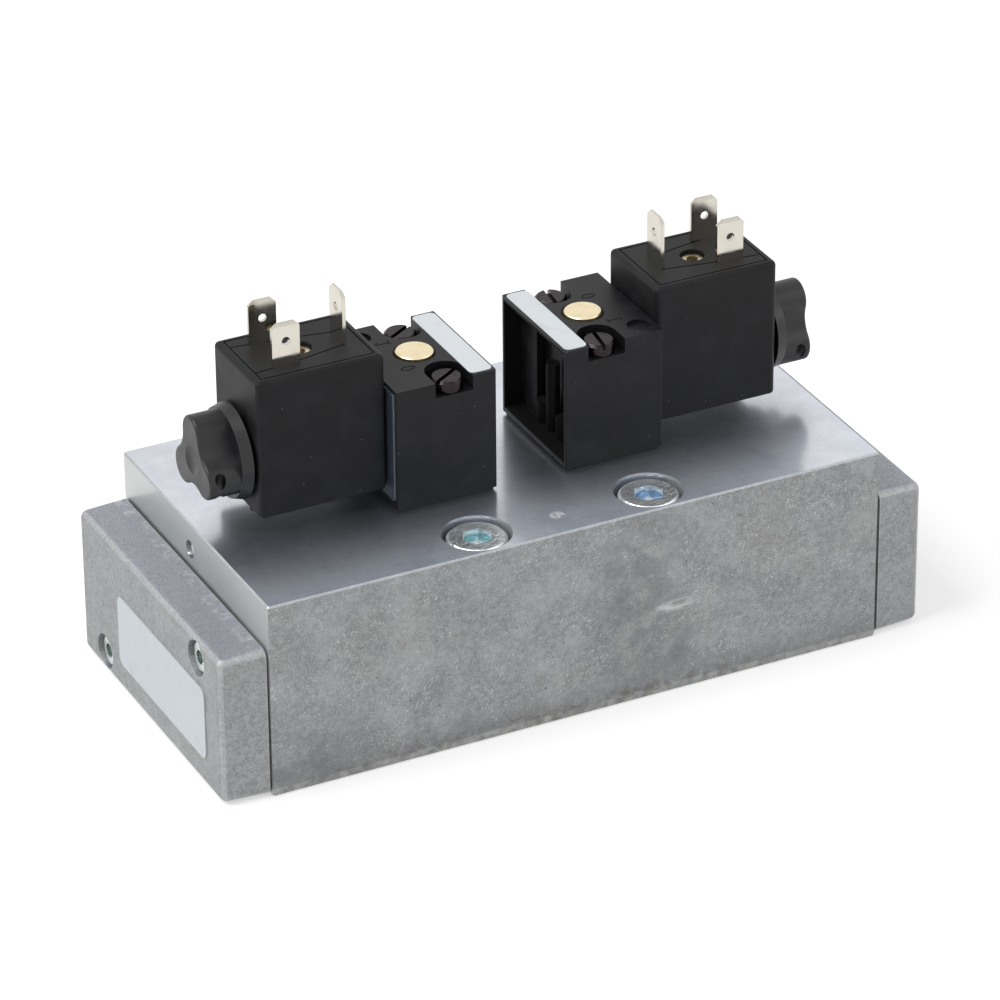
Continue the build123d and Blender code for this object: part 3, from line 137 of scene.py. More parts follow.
class Surface:
    """The node tree of one material, with its shader and the patterns that finishes share."""

    # Cosines of a normal's turn, between which worn edges and rounded corners fade in.
    EDGE_TURN = (0.995, 0.86)
    ROUND_TURN = (0.97, 0.88)
    # How rough each finer octave of a noise is, a little over Blender's half.
    OCTAVES = 0.55
    # Rise of the noise over which the end of a scratch fades in.
    STROKE_FADE = 0.05

    def __init__(self, name: str) -> None:
        """Start an empty principled material.

        Args:
            name: name of the material.
        """
        self.material = bpy.data.materials.new(name)
        self.material.use_nodes = True
        self.tree = self.material.node_tree
        self.shader = self.tree.nodes["Principled BSDF"]
        coordinates = self.add("ShaderNodeTexCoord")
        self.place = coordinates.outputs["Object"]
        self.normal = coordinates.outputs["Normal"]

    def add(
        self,
        kind: str,
        settings: Keyed | None = None,
        links: dict[str | int, Socket] | None = None,
    ) -> bpy.types.Node:
        """Add a node to this surface's tree, as add_node does, and return it."""
        return add_node(self.tree, kind, settings, links)

    def placed(self, size: Triple, centre: Triple = (0.0, 0.0, 0.0), turn: float = 0.0) -> Socket:
        """Return the place on the piece, counted in a pattern's own size.

        Args:
            size: size of the pattern along each axis.
            centre: place of its middle.
            turn: degrees by which it is turned about each axis.

        Returns:
            The place as a vector.
        """
        settings = {
            "vector_type": "TEXTURE",
            "Location": tuple(value * MM for value in centre),
            "Rotation": (math.radians(turn),) * 3,
            "Scale": tuple(value * MM for value in size),
        }
        return self.add("ShaderNodeMapping", settings, {"Vector": self.place}).outputs["Vector"]

    def between(self, value: Socket, low: float, high: float) -> Socket:
        """Return a mask that rises smoothly from nought at low to one at high.

        Args:
            value: the value that is read.
            low: value at which the mask is nought.
            high: value at which the mask is one.

        Returns:
            The mask.
        """
        settings = {"interpolation_type": "SMOOTHSTEP", "From Min": low, "From Max": high}
        if low > high:
            settings |= {"From Min": high, "From Max": low, "To Min": 1.0, "To Max": 0.0}
        return self.add("ShaderNodeMapRange", settings, {"Value": value}).outputs["Result"]

    def clouds(
        self,
        size: float,
        low: float = 0.0,
        high: float = 1.0,
        detail: float = 3.0,
        stretch: Triple = (1.0, 1.0, 1.0),
        turn: float = 0.0,
    ) -> Socket:
        """Return a mask of cloudy patches.

        Args:
            size: width of a patch.
            low: noise value at which the mask is nought.
            high: noise value at which the mask is one.
            detail: how many finer octaves the noise has.
            stretch: how much longer a patch is along each axis.
            turn: degrees by which the pattern is turned about each axis.

        Returns:
            The mask.
        """
        scale = tuple(size * share for share in stretch)
        noise = self.add(
            "ShaderNodeTexNoise",
            {"Scale": 1.0, "Detail": detail, "Roughness": self.OCTAVES},
            {"Vector": self.placed(scale, turn=turn)},
        )
        return self.between(noise.outputs["Fac"], low, high)

    def specks(self, spacing: float, largest: float, turn: float = 0.0) -> Socket:
        """Return a mask of scattered round specks of many sizes.

        Args:
            spacing: mean distance between specks.
            largest: radius of the largest one, as a share of the spacing.
            turn: degrees by which the pattern is turned about each axis.

        Returns:
            The mask.
        """
        place = self.placed((spacing,) * 3, turn=turn)
        cells = self.add("ShaderNodeTexVoronoi", {"Scale": 1.0}, {"Vector": place})
        chance = self.add("ShaderNodeSeparateColor", links={"Color": cells.outputs["Color"]})
        radius = self.add(
            "ShaderNodeMath", {"operation": "MULTIPLY", 1: largest}, {0: chance.outputs["Red"]}
        )
        inside = self.add(
            "ShaderNodeMath",
            {"operation": "SUBTRACT"},
            {0: radius.outputs["Value"], 1: cells.outputs["Distance"]},
        )
        return self.between(inside.outputs["Value"], 0.0, largest * 0.5)

    def spot(self, centre: Triple, reach: Triple, inner: float = 0.5) -> Socket:
        """Return a mask of one soft-edged spot.

        Args:
            centre: middle of the spot.
            reach: how far it reaches along each axis.
            inner: share of the reach within which the mask is one.

        Returns:
            The mask.
        """
        place = self.placed(reach, centre)
        away = self.add("ShaderNodeVectorMath", {"operation": "LENGTH"}, {0: place})
        return self.between(away.outputs["Value"], 1.0, inner)

    def largest(self, vector: Socket) -> Socket:
        """Return the largest of a vector's three sizes, whatever their signs.

        Args:
            vector: the vector.

        Returns:
            The size.
        """
        sizes = self.add("ShaderNodeVectorMath", {"operation": "ABSOLUTE"}, {0: vector})
        axes = self.add("ShaderNodeSeparateXYZ", links={"Vector": sizes.outputs["Vector"]})
        most = axes.outputs["X"]
        for axis in ("Y", "Z"):
            links = {0: most, 1: axes.outputs[axis]}
            most = self.add("ShaderNodeMath", {"operation": "MAXIMUM"}, links).outputs["Value"]
        return most

    def within(self, centre: Triple, reach: Triple) -> Socket:
        """Return a mask of the inside of a box.

        Args:
            centre: middle of the box.
            reach: half of the box's size along each axis.

        Returns:
            The mask.
        """
        return self.between(self.largest(self.placed(reach, centre)), 1.0, 0.98)

    def strokes(self, width: float, length: float, turn: float, rare: float) -> Socket:
        """Return a mask of short thin scratches.

        Args:
            width: width of a scratch.
            length: its length.
            turn: degrees by which the pattern is turned about each axis.
            rare: noise value over which a scratch starts.

        Returns:
            The mask.
        """
        stretch = (1.0, 1.0, length / width)
        return self.clouds(
            width, rare, rare + self.STROKE_FADE, detail=1.0, stretch=stretch, turn=turn
        )

    def facing(self, direction: Triple, low: float, high: float) -> Socket:
        """Return a mask of the faces that look along a direction.

        Args:
            direction: the direction, in the part's frame.
            low: cosine at which the mask is nought.
            high: cosine at which the mask is one.

        Returns:
            The mask.
        """
        aligned = self.add(
            "ShaderNodeVectorMath", {"operation": "DOT_PRODUCT", 1: direction}, {0: self.normal}
        )
        return self.between(aligned.outputs["Value"], low, high)

    def edges(self, width: float) -> Socket:
        """Return a mask of the strips beside sharp edges, where handling rubs the surface.

        Args:
            width: reach of a strip from its edge.

        Returns:
            The mask.
        """
        rounded = self.add("ShaderNodeBevel", {"samples": 4, "Radius": width * MM})
        plain = self.add("ShaderNodeNewGeometry")
        aligned = self.add(
            "ShaderNodeVectorMath",
            {"operation": "DOT_PRODUCT"},
            {0: rounded.outputs["Normal"], 1: plain.outputs["Normal"]},
        )
        return self.between(aligned.outputs["Value"], *self.EDGE_TURN)

    def rounds(self) -> Socket:
        """Return a mask of the rounded corners, which look along no axis of the part."""
        return self.between(self.largest(self.normal), *self.ROUND_TURN)

    def together(self, *masks: Socket) -> Socket:
        """Return the product of some masks.

        Args:
            masks: two masks or more.

        Returns:
            The product.
        """
        product = masks[0]
        for mask in masks[1:]:
            node = self.add("ShaderNodeMath", {"operation": "MULTIPLY"}, {0: product, 1: mask})
            product = node.outputs["Value"]
        return product

    def share(self, mask: Socket, strength: float) -> Socket:
        """Return a mask at part of its strength."""
        settings = {"operation": "MULTIPLY", 1: strength}
        return self.add("ShaderNodeMath", settings, {0: mask}).outputs["Value"]

    def colours(self, under: str | Socket, *layers: tuple[Socket, str | Socket]) -> Socket:
        """Lay colours over each other.

        Args:
            under: the colour at the bottom.
            layers: pairs of a mask and the colour that shows through it, from the bottom up.

        Returns:
            The mixed colour.
        """
        colour = under
        for mask, over in layers:
            settings, links = {"data_type": "RGBA"}, {0: mask}
            for slot, value in ((6, colour), (7, over)):
                if isinstance(value, str):
                    settings[slot] = linear(value)
                else:
                    links[slot] = value
            colour = self.add("ShaderNodeMix", settings, links).outputs[2]
        return colour

    def sum_of(self, start: float, *parts: tuple[Socket, float]) -> Socket:
        """Add weighted masks to a start value.

        Args:
            start: value where every mask is nought.
            parts: pairs of a mask and what it adds where it is one.

        Returns:
            The sum.
        """
        total: Any = None
        for mask, weight in parts:
            settings: Keyed = {"operation": "MULTIPLY_ADD", 1: weight, 2: start}
            links = {0: mask}
            if total is not None:
                links[2] = total
            total = self.add("ShaderNodeMath", settings, links).outputs["Value"]
        return total

    def relief(self, *parts: tuple[Socket, float]) -> None:
        """Raise the surface by masks.

        Args:
            parts: pairs of a mask and the height in millimetres that it raises the surface.
        """
        bump = self.add(
            "ShaderNodeBump",
            {"Strength": 1.0, "Distance": MM},
            {"Height": self.sum_of(0.0, *parts)},
        )
        self.tree.links.new(bump.outputs["Normal"], self.shader.inputs["Normal"])

    def finish(self, settings: dict[str, Any], links: dict[str, Socket]) -> bpy.types.Material:
        """Set the shader's own sockets and return the material.

        Args:
            settings: constant values, by socket name.
            links: outputs that feed sockets, by socket name.

        Returns:
            The finished material.
        """
        for name, value in settings.items():
            self.shader.inputs[name].default_value = value
        for name, source in links.items():
            self.tree.links.new(source, self.shader.inputs[name])
        return self.material


@dataclass(frozen=True)
class CastAluminium:
    """Aluminium casting, tumbled: a soft grey skin, clouded, with pale dings and rubbed edges, and
    painted light on its tops and rounded corners.

    Attributes:
        name: name of the material.
        skin: colour of the tumbled skin.
        pale: colour of the paler patches and of the grain.
        dark: colour of the shaded patches.
        warm: colour of the patches that turned warmer.
        bruise: colour of dings, scratches and file marks.
        pit: colour of the small pits.
        rubbed: colour of the rubbed edges, and of the rounded corners, where it is partly a painted
            highlight.
        cool: colour laid over the tops as a painted reflection of the bright sky above them.
        clouding: strength of the large patches, from nought to one.
        damage: strength of the dings, from nought to one.
        metal: how metallic the dull skin is.
        roughness: roughness of the skin.
        grit: depth of the grain.
        waves: depth of the swell that casting leaves.
    """

    name: str = "aluminium_cast_tumbled"
    skin: str = "#878889"
    pale: str = "#bcc0c2"
    dark: str = "#73767a"
    warm: str = "#8f8c85"
    bruise: str = "#dde0df"
    pit: str = "#5b5853"
    rubbed: str = "#cfd2d3"
    cool: str = "#9191a0"
    clouding: float = 0.5
    damage: float = 0.3
    metal: float = 0.5
    roughness: float = 0.5
    grit: float = 0.02
    waves: float = 0.04

    def skin_colour(self, surface: Surface) -> tuple[Socket, Socket]:
        """Return the colour of the tumbled skin and its fine grain.

        Args:
            surface: the material's surface.

        Returns:
            The colour, and a mask of the grain.
        """
        # Such a grain is usually near 0.1 mm, too fine to show, so it is drawn at 0.4 mm.
        grain = surface.clouds(0.4, 0.36, 0.64, detail=3.0)
        mottle = surface.clouds(1.5, 0.38, 0.66, detail=4.0, turn=20.0)
        patches = surface.clouds(9.0, 0.42, 0.66, detail=5.0)
        shade = surface.clouds(13.0, 0.46, 0.72, detail=4.0, turn=40.0)
        warmth = surface.clouds(20.0, 0.45, 0.65, detail=3.0, turn=65.0)
        clusters = surface.clouds(7.0, 0.42, 0.62, detail=3.0, turn=15.0)
        dings = surface.together(surface.specks(0.8, 0.4), clusters)
        scratches = surface.together(surface.strokes(0.26, 2.4, 25.0, 0.645), clusters)
        nicks = surface.strokes(0.3, 1.5, 62.0, 0.7)
        pits = surface.specks(2.3, 0.13, turn=33.0)
        layers = (
            (surface.share(warmth, 0.4 * self.clouding), self.warm),
            (surface.share(patches, 0.28 * self.clouding), self.pale),
            (surface.share(shade, 0.6 * self.clouding), self.dark),
            (surface.share(mottle, 0.28), self.pale),
            (surface.share(grain, 0.38), self.pale),
            (surface.share(dings, 0.46 * self.damage), self.bruise),
            (surface.share(scratches, 0.62 * self.damage), self.bruise),
            (surface.share(nicks, 0.6 * self.damage), self.bruise),
            (surface.share(pits, 0.9 * self.damage), self.pit),
            (surface.share(surface.edges(0.4), 0.65), self.rubbed),
        )
        return surface.colours(self.skin, *layers), grain

    def file_marks(self, surface: Surface, top: Socket) -> Socket:
        """Return a mask of the tufts of file marks along the seam with the body.

        Args:
            surface: the material's surface.
            top: mask of the faces that look up.

        Returns:
            The mask.
        """
        # A file usually leaves lines near 0.1 mm apart, drawn at 0.24 mm so that they show.
        combed = surface.clouds(0.24, 0.46, 0.62, detail=3.0, stretch=(7.0, 1.0, 1.0))
        seams = [surface.within((end.value * END_X, 0.0, 35.0), (1.6, 60.0, 3.0)) for end in End]
        filed = surface.together(combed, top, surface.sum_of(0.0, *[(seam, 1.0) for seam in seams]))
        tufts = surface.clouds(2.5, 0.44, 0.6, detail=3.0, turn=8.0)
        return surface.together(filed, tufts)

    def material(self) -> bpy.types.Material:
        """Build the finish.

        Returns:
            The material.
        """
        surface = Surface(self.name)
        colour, grain = self.skin_colour(surface)
        swell = surface.clouds(3.0, 0.2, 0.8, detail=2.0)
        top = surface.facing((0.0, 0.0, 1.0), 0.75, 0.95)
        # The rounded corners turn paler: partly rubbed, partly a painted highlight where they catch
        # the light.
        worn = surface.together(surface.rounds(), surface.clouds(0.7, 0.15, 0.7, detail=4.0))
        colour = surface.colours(
            colour,
            # The tops get a bluish tint and paler grain: painted reflection and sheen of the sky
            # above.
            (surface.share(top, 0.6), self.cool),
            (surface.share(surface.together(top, grain), 0.2), self.rubbed),
            (surface.share(self.file_marks(surface, top), 0.5), self.bruise),
            (surface.share(worn, 0.45), self.rubbed),
        )
        surface.relief((grain, self.grit), (swell, self.waves))
        return surface.finish(
            {"Metallic": self.metal, "Roughness": self.roughness}, {"Base Color": colour}
        )


@dataclass(frozen=True)
class GroundAluminium(CastAluminium):
    """Aluminium casting with its top and ends ground flat: bright, fine lines across a soft mirror.

    Attributes:
        ground: colour of the ground faces.
        smudge: colour of the film that handling leaves on them.
        glint: colour of the hair scratches.
        nick: colour of the small dark marks.
        chafed: colour of the scuff between the front bolts.
        rim: colour of the ground faces' edges.
        end: colour of the ends, ground more coarsely.
        chalk: colour of the pale strip along the front's foot.
        stain: colour of the brown stains low on the front.
        polish: how much smoother the ground faces are than the skin.
        worn: how much of that is worn off towards the front.
        haze: how much the film of handling takes off.
        coarse: how much the coarser grinding of the ends takes off.
        mirror_ior: index of the coat that stands for the flat metal's mirror.
        mirror_roughness: roughness of that coat.
    """

    name: str = "aluminium_cast_ground"
    ground: str = "#cbd1dc"
    smudge: str = "#9ba0ae"
    glint: str = "#f4f5f6"
    nick: str = "#4b4c50"
    chafed: str = "#d6d8da"
    rim: str = "#a9adb1"
    end: str = "#bbbeba"
    chalk: str = "#babbb8"
    stain: str = "#6d655a"
    clouding: float = 1.0
    damage: float = 1.0
    roughness: float = 0.55
    polish: float = 0.21
    worn: float = 0.23
    haze: float = 0.04
    coarse: float = 0.12
    mirror_ior: float = 3.5
    mirror_roughness: float = 0.16

    def ground_colour(
        self, surface: Surface, film: Socket, scuff: Socket, sides: list[Socket]
    ) -> Socket:
        """Return the colour of the ground faces.

        Args:
            surface: the material's surface.
            film: mask of the film of handling.
            scuff: mask of the scuff between the front bolts.
            sides: masks of the two ends.

        Returns:
            The colour.
        """
        # Grinding lines are usually near 0.05 mm wide, drawn at 0.3 mm so that they show.
        lines = surface.clouds(0.3, 0.3, 0.7, detail=3.0, stretch=(1.0, 50.0, 1.0))
        marks = surface.together(
            surface.specks(5.0, 0.07, turn=12.0), surface.clouds(20.0, 0.45, 0.6, detail=1.0)
        )
        hairs = surface.strokes(0.16, 5.0, 88.0, 0.68)
        sweep = surface.strokes(0.35, 9.0, 118.0, 0.6)
        return surface.colours(
            self.ground,
            (surface.share(lines, 0.16), self.smudge),
            (surface.share(film, 0.5), self.smudge),
            (surface.share(sweep, 0.2), self.smudge),
            (surface.share(hairs, 0.4), self.glint),
            (surface.share(marks, 0.8), self.nick),
            *[(surface.share(side, 0.85), self.end) for side in sides],
            (scuff, self.chafed),
            (surface.share(surface.edges(0.3), 0.7), self.rim),
        )

    def front_colour(self, surface: Surface, skin: Socket) -> Socket:
        """Return the skin's colour with the marks that only the front face has, and darker towards
        its foot.

        Args:
            surface: the material's surface.
            skin: colour of the skin.

        Returns:
            The colour.
        """
        ragged = surface.clouds(5.0, 0.3, 0.62, detail=5.0, turn=52.0)
        smears = [
            surface.together(surface.spot(centre, reach, 0.15), ragged)
            for centre, reach in (
                ((13.0, FRONT_Y, 24.0), (15.0, 8.0, 34.0)),
                ((-62.0, FRONT_Y, 4.0), (22.0, 8.0, 14.0)),
                ((23.0, FRONT_Y, 9.8), (7.0, 8.0, 9.0)),
            )
        ]
        graze = surface.together(
            surface.spot((21.9, FRONT_Y, 21.0), (7.5, 8.0, 1.9), 0.2),
            surface.clouds(0.8, 0.35, 0.58, detail=3.0, stretch=(4.0, 1.0, 1.0)),
        )
        low = surface.spot((0.0, FRONT_Y, 0.0), (200.0, 8.0, 9.0), 0.3)
        foot = surface.together(
            surface.spot((0.0, FRONT_Y, 0.0), (200.0, 8.0, 2.2), 0.8),
            surface.clouds(2.5, 0.3, 0.6, detail=4.0, turn=35.0),
        )
        stains = surface.together(
            surface.clouds(2.2, 0.4, 0.62, detail=4.0, turn=10.0),
            surface.spot((0.0, FRONT_Y, 1.8), (90.0, 8.0, 3.2), 0.2),
        )
        return surface.colours(
            skin,
            *[(surface.share(smear, 0.6), self.dark) for smear in smears],
            (surface.share(graze, 0.7), self.bruise),
            # Darker towards the foot of the front, and a pale strip along the foot itself.
            (surface.share(low, 0.3), self.dark),
            (surface.share(foot, 0.7), self.chalk),
            (surface.share(stains, 0.5), self.stain),
        )

    def material(self) -> bpy.types.Material:
        """Build the finish.

        Returns:
            The material.
        """
        surface = Surface(self.name)
        skin, grain = self.skin_colour(surface)
        film = surface.clouds(13.0, 0.42, 0.7, detail=5.0)
        scuff = surface.together(
            surface.spot((-1.8, -29.8, TOP_Z), (1.9, 1.6, 2.0), 0.7),
            surface.clouds(0.8, 0.4, 0.52),
        )
        top = surface.facing((0.0, 0.0, 1.0), 0.62, 0.84)
        sides = [surface.facing((end.value, 0.0, 0.0), 0.8, 0.95) for end in End]
        bores = [
            surface.spot((x, BOLT_Y, 42.0), (7.9, 7.9, 40.0), 0.98) for x in (-BOLT_X, BOLT_X)
        ]
        machined = surface.sum_of(0.0, (top, 1.0), *[(mask, 1.0) for mask in sides + bores])
        flat = surface.between(machined, 0.0, 1.0)
        cast = surface.sum_of(1.0, (flat, -1.0))
        colour = surface.colours(
            self.front_colour(surface, skin),
            (flat, self.ground_colour(surface, film, scuff, sides)),
        )
        surface.relief((surface.together(cast, grain), self.grit))
        worn = surface.spot((0.0, -40.0, TOP_Z), (200.0, 30.0, 40.0), 0.15)
        roughness = surface.sum_of(
            self.roughness,
            (flat, -self.polish),
            (surface.together(flat, worn), self.worn),
            (surface.together(flat, film), self.haze),
            *[(side, self.coarse) for side in sides],
        )
        coat = surface.sum_of(0.0, (flat, 1.0), (scuff, -0.8), *[(side, -0.6) for side in sides])
        metallic = surface.sum_of(self.metal, (flat, 0.45), (scuff, -0.8))
        return surface.finish(
            {"Coat IOR": self.mirror_ior, "Coat Roughness": self.mirror_roughness},
            {
                "Base Color": colour,
                "Roughness": roughness,
                "Metallic": metallic,
                "Coat Weight": coat,
            },
        )


@dataclass(frozen=True)
class MouldedPlastic:
    """Glass-filled nylon, moulded black: even and satin, with a fine grain and a little dust.

    Attributes:
        name: name of the material.
        colour: colour of the moulding.
        rubbed: colour of its rubbed edges and of a faint haze.
        roughness: roughness of its face.
        sheen: strength of its reflections, as the shader's specular level.
        grain: width of the mould's grain.
        depth: depth of that grain.
        dust: strength of the dust, from nought to one.
        hollows: centre and reach of each deep hollow, unpolished by the mould, free of dust and
            darkened with painted shade.
        lint: colour of the dust.
        raw: painted shade inside the hollows, a near-black colour where shade falls.
    """

    name: str
    colour: str = "#131316"
    rubbed: str = "#4c4d50"
    roughness: float = 0.38
    sheen: float = 0.22
    grain: float = 0.3
    depth: float = 0.006
    dust: float = 0.5
    hollows: tuple[tuple[Triple, Triple], ...] = ()
    lint: str = "#8a8b8c"
    raw: str = "#050505"

    def material(self) -> bpy.types.Material:
        """Build the finish.

        Returns:
            The material.
        """
        surface = Surface(self.name)
        # A mould's grain is usually near 0.1 mm, so it is drawn two to five times coarser to show.
        grain = surface.clouds(self.grain, 0.25, 0.75, detail=2.0)
        haze = surface.clouds(6.0, 0.4, 0.7, detail=3.0)
        dust = surface.specks(2.2, 0.09)
        inside = [surface.within(centre, reach) for centre, reach in self.hollows]
        colour = surface.colours(
            self.colour,
            (surface.share(haze, 0.1), self.rubbed),
            (surface.share(dust, self.dust), self.lint),
            (surface.share(surface.edges(0.25), 0.3), self.rubbed),
            # Painted shade: the hollows are coloured near black where their insides fall dark.
            *[(mask, self.raw) for mask in inside],
        )
        roughness = surface.sum_of(
            self.roughness, (haze, 0.08), (grain, 0.04), *[(mask, 0.3) for mask in inside]
        )
        surface.relief((grain, self.depth))
        return surface.finish(
            {"IOR": 1.5, "Specular IOR Level": self.sheen},
            {"Base Color": colour, "Roughness": roughness},
        )


@dataclass(frozen=True)
class MouldedRubber:
    """Nitrile rubber, moulded: near black and dull, with a pale bloom.

    Attributes:
        name: name of the material.
        colour: colour of the rubber.
        bloom: colour of its bloom.
    """

    name: str = "rubber_nitrile_moulded"
    colour: str = "#161616"
    bloom: str = "#3a3a3b"

    def material(self) -> bpy.types.Material:
        """Build the finish.

        Returns:
            The material.
        """
        surface = Surface(self.name)
        bloom = surface.clouds(1.2, 0.4, 0.8, detail=3.0)
        colour = surface.colours(self.colour, (surface.share(bloom, 0.5), self.bloom))
        surface.relief((bloom, 0.01))
        return surface.finish({"Roughness": 0.8, "IOR": 1.52}, {"Base Color": colour})


@dataclass(frozen=True)
class PlatedSteel:
    """Metal with a thin plate: bright, faintly tinted, with soft drawing lines and rubbed spots.

    Attributes:
        name: name of the material.
        plate: colour of the plate.
        tint: colour that its passivation has in patches.
        roughness: roughness of the plate.
        lines: spacing of the drawing lines.
        along: how far they run along each axis.
        dents: depth of the dents that handling and tools leave.
        sockets: centre, reach and colour of each socket: the passivation's tint, deepened there as
            painted reflection between the socket's walls.
        edge: colour of the strips along the edges: rubbed plate, and on the yoke plate a painted
            highlight.
        spot: colour of the dull spots.
    """

    name: str
    plate: str = "#e6eaec"
    tint: str = "#c3d2da"
    roughness: float = 0.2
    lines: float = 0.12
    along: Triple = (1.0, 1.0, 12.0)
    dents: float = 0.002
    sockets: tuple[tuple[Triple, Triple, str], ...] = ()
    edge: str = "#f4f6f7"
    spot: str = "#8f959a"

    def material(self) -> bpy.types.Material:
        """Build the finish.

        Returns:
            The material.
        """
        surface = Surface(self.name)
        patches = surface.clouds(3.5, 0.35, 0.75, detail=3.0)
        # Such lines are usually a few hundredths of a millimetre wide, drawn coarser to show.
        lines = surface.clouds(self.lines, 0.2, 0.8, detail=1.0, stretch=self.along)
        spots = surface.specks(1.8, 0.14)
        # The sockets' colours are partly passivation, partly painted reflection between their
        # walls.
        wells = [(surface.spot(centre, reach, 0.9), shade) for centre, reach, shade in self.sockets]
        colour = surface.colours(
            self.plate,
            (surface.share(patches, 0.4), self.tint),
            (surface.share(spots, 0.2), self.spot),
            # Edge strips: rubbed plate, and on the yoke plate a painted highlight along its edges.
            (surface.share(surface.edges(0.2), 0.6), self.edge),
            *wells,
        )
        roughness = surface.sum_of(self.roughness, (patches, 0.06), (lines, 0.04))
        knocks = surface.clouds(0.9, 0.35, 0.65, detail=2.0, turn=50.0)
        surface.relief((lines, 0.0008), (knocks, self.dents))
        return surface.finish({"Metallic": 1.0}, {"Base Color": colour, "Roughness": roughness})


@dataclass(frozen=True)
class TurnedBrass:
    """Brass, turned on its face: warm and pale, with fine tool lines that catch the light.

    Attributes:
        name: name of the material.
        brass: colour of the metal.
        tarnish: colour of its thin tarnish.
        lines: spacing of the tool lines.
        roughness: roughness of the clean metal.
    """

    name: str = "brass_turned"
    brass: str = "#f1e3c0"
    tarnish: str = "#d8bf8b"
    lines: float = 0.22
    roughness: float = 0.3

    def material(self) -> bpy.types.Material:
        """Build the finish.

        Returns:
            The material.
        """
        surface = Surface(self.name)
        # A turning tool usually leaves rings near 0.08 mm apart. They are drawn coarser so that
        # they show, and straight, because so small a face hardly shows their bend.
        lines = surface.clouds(self.lines, 0.25, 0.75, detail=1.0, stretch=(14.0, 1.0, 1.0))
        stain = surface.clouds(2.5, 0.45, 0.75, detail=4.0)
        colour = surface.colours(
            self.brass,
            (surface.share(stain, 0.35), self.tarnish),
            (surface.share(lines, 0.12), self.tarnish),
            (surface.share(surface.edges(0.15), 0.5), self.tarnish),
        )
        roughness = surface.sum_of(self.roughness, (stain, 0.12))
        surface.relief((lines, 0.0012))
        return surface.finish({"Metallic": 1.0}, {"Base Color": colour, "Roughness": roughness})


@dataclass(frozen=True)
class PrintedFilm:
    """Polyester label film, left blank: cool white and satin, soiled a little at its edges.

    Attributes:
        name: name of the material.
        film: colour of the film.
        soil: colour of the soiling.
    """

    name: str = "polyester_label_film"
    film: str = "#dfe4e8"
    soil: str = "#a9a49a"

    def material(self) -> bpy.types.Material:
        """Build the finish.

        Returns:
            The material.
        """
        surface = Surface(self.name)
        soil = surface.clouds(4.0, 0.55, 0.8, detail=4.0)
        # The film's satin is far finer than a pixel, so only its slow waves are drawn.
        waves = surface.clouds(0.5, 0.3, 0.7, detail=1.0)
        colour = surface.colours(
            self.film,
            (surface.share(soil, 0.25), self.soil),
            (surface.share(surface.edges(0.3), 0.3), self.soil),
        )
        surface.relief((waves, 0.002))
        return surface.finish(
            {"Roughness": 0.38, "Metallic": 0.1, "IOR": 1.5}, {"Base Color": colour}
        )


Finish = CastAluminium | MouldedPlastic | MouldedRubber | PlatedSteel | TurnedBrass | PrintedFilm


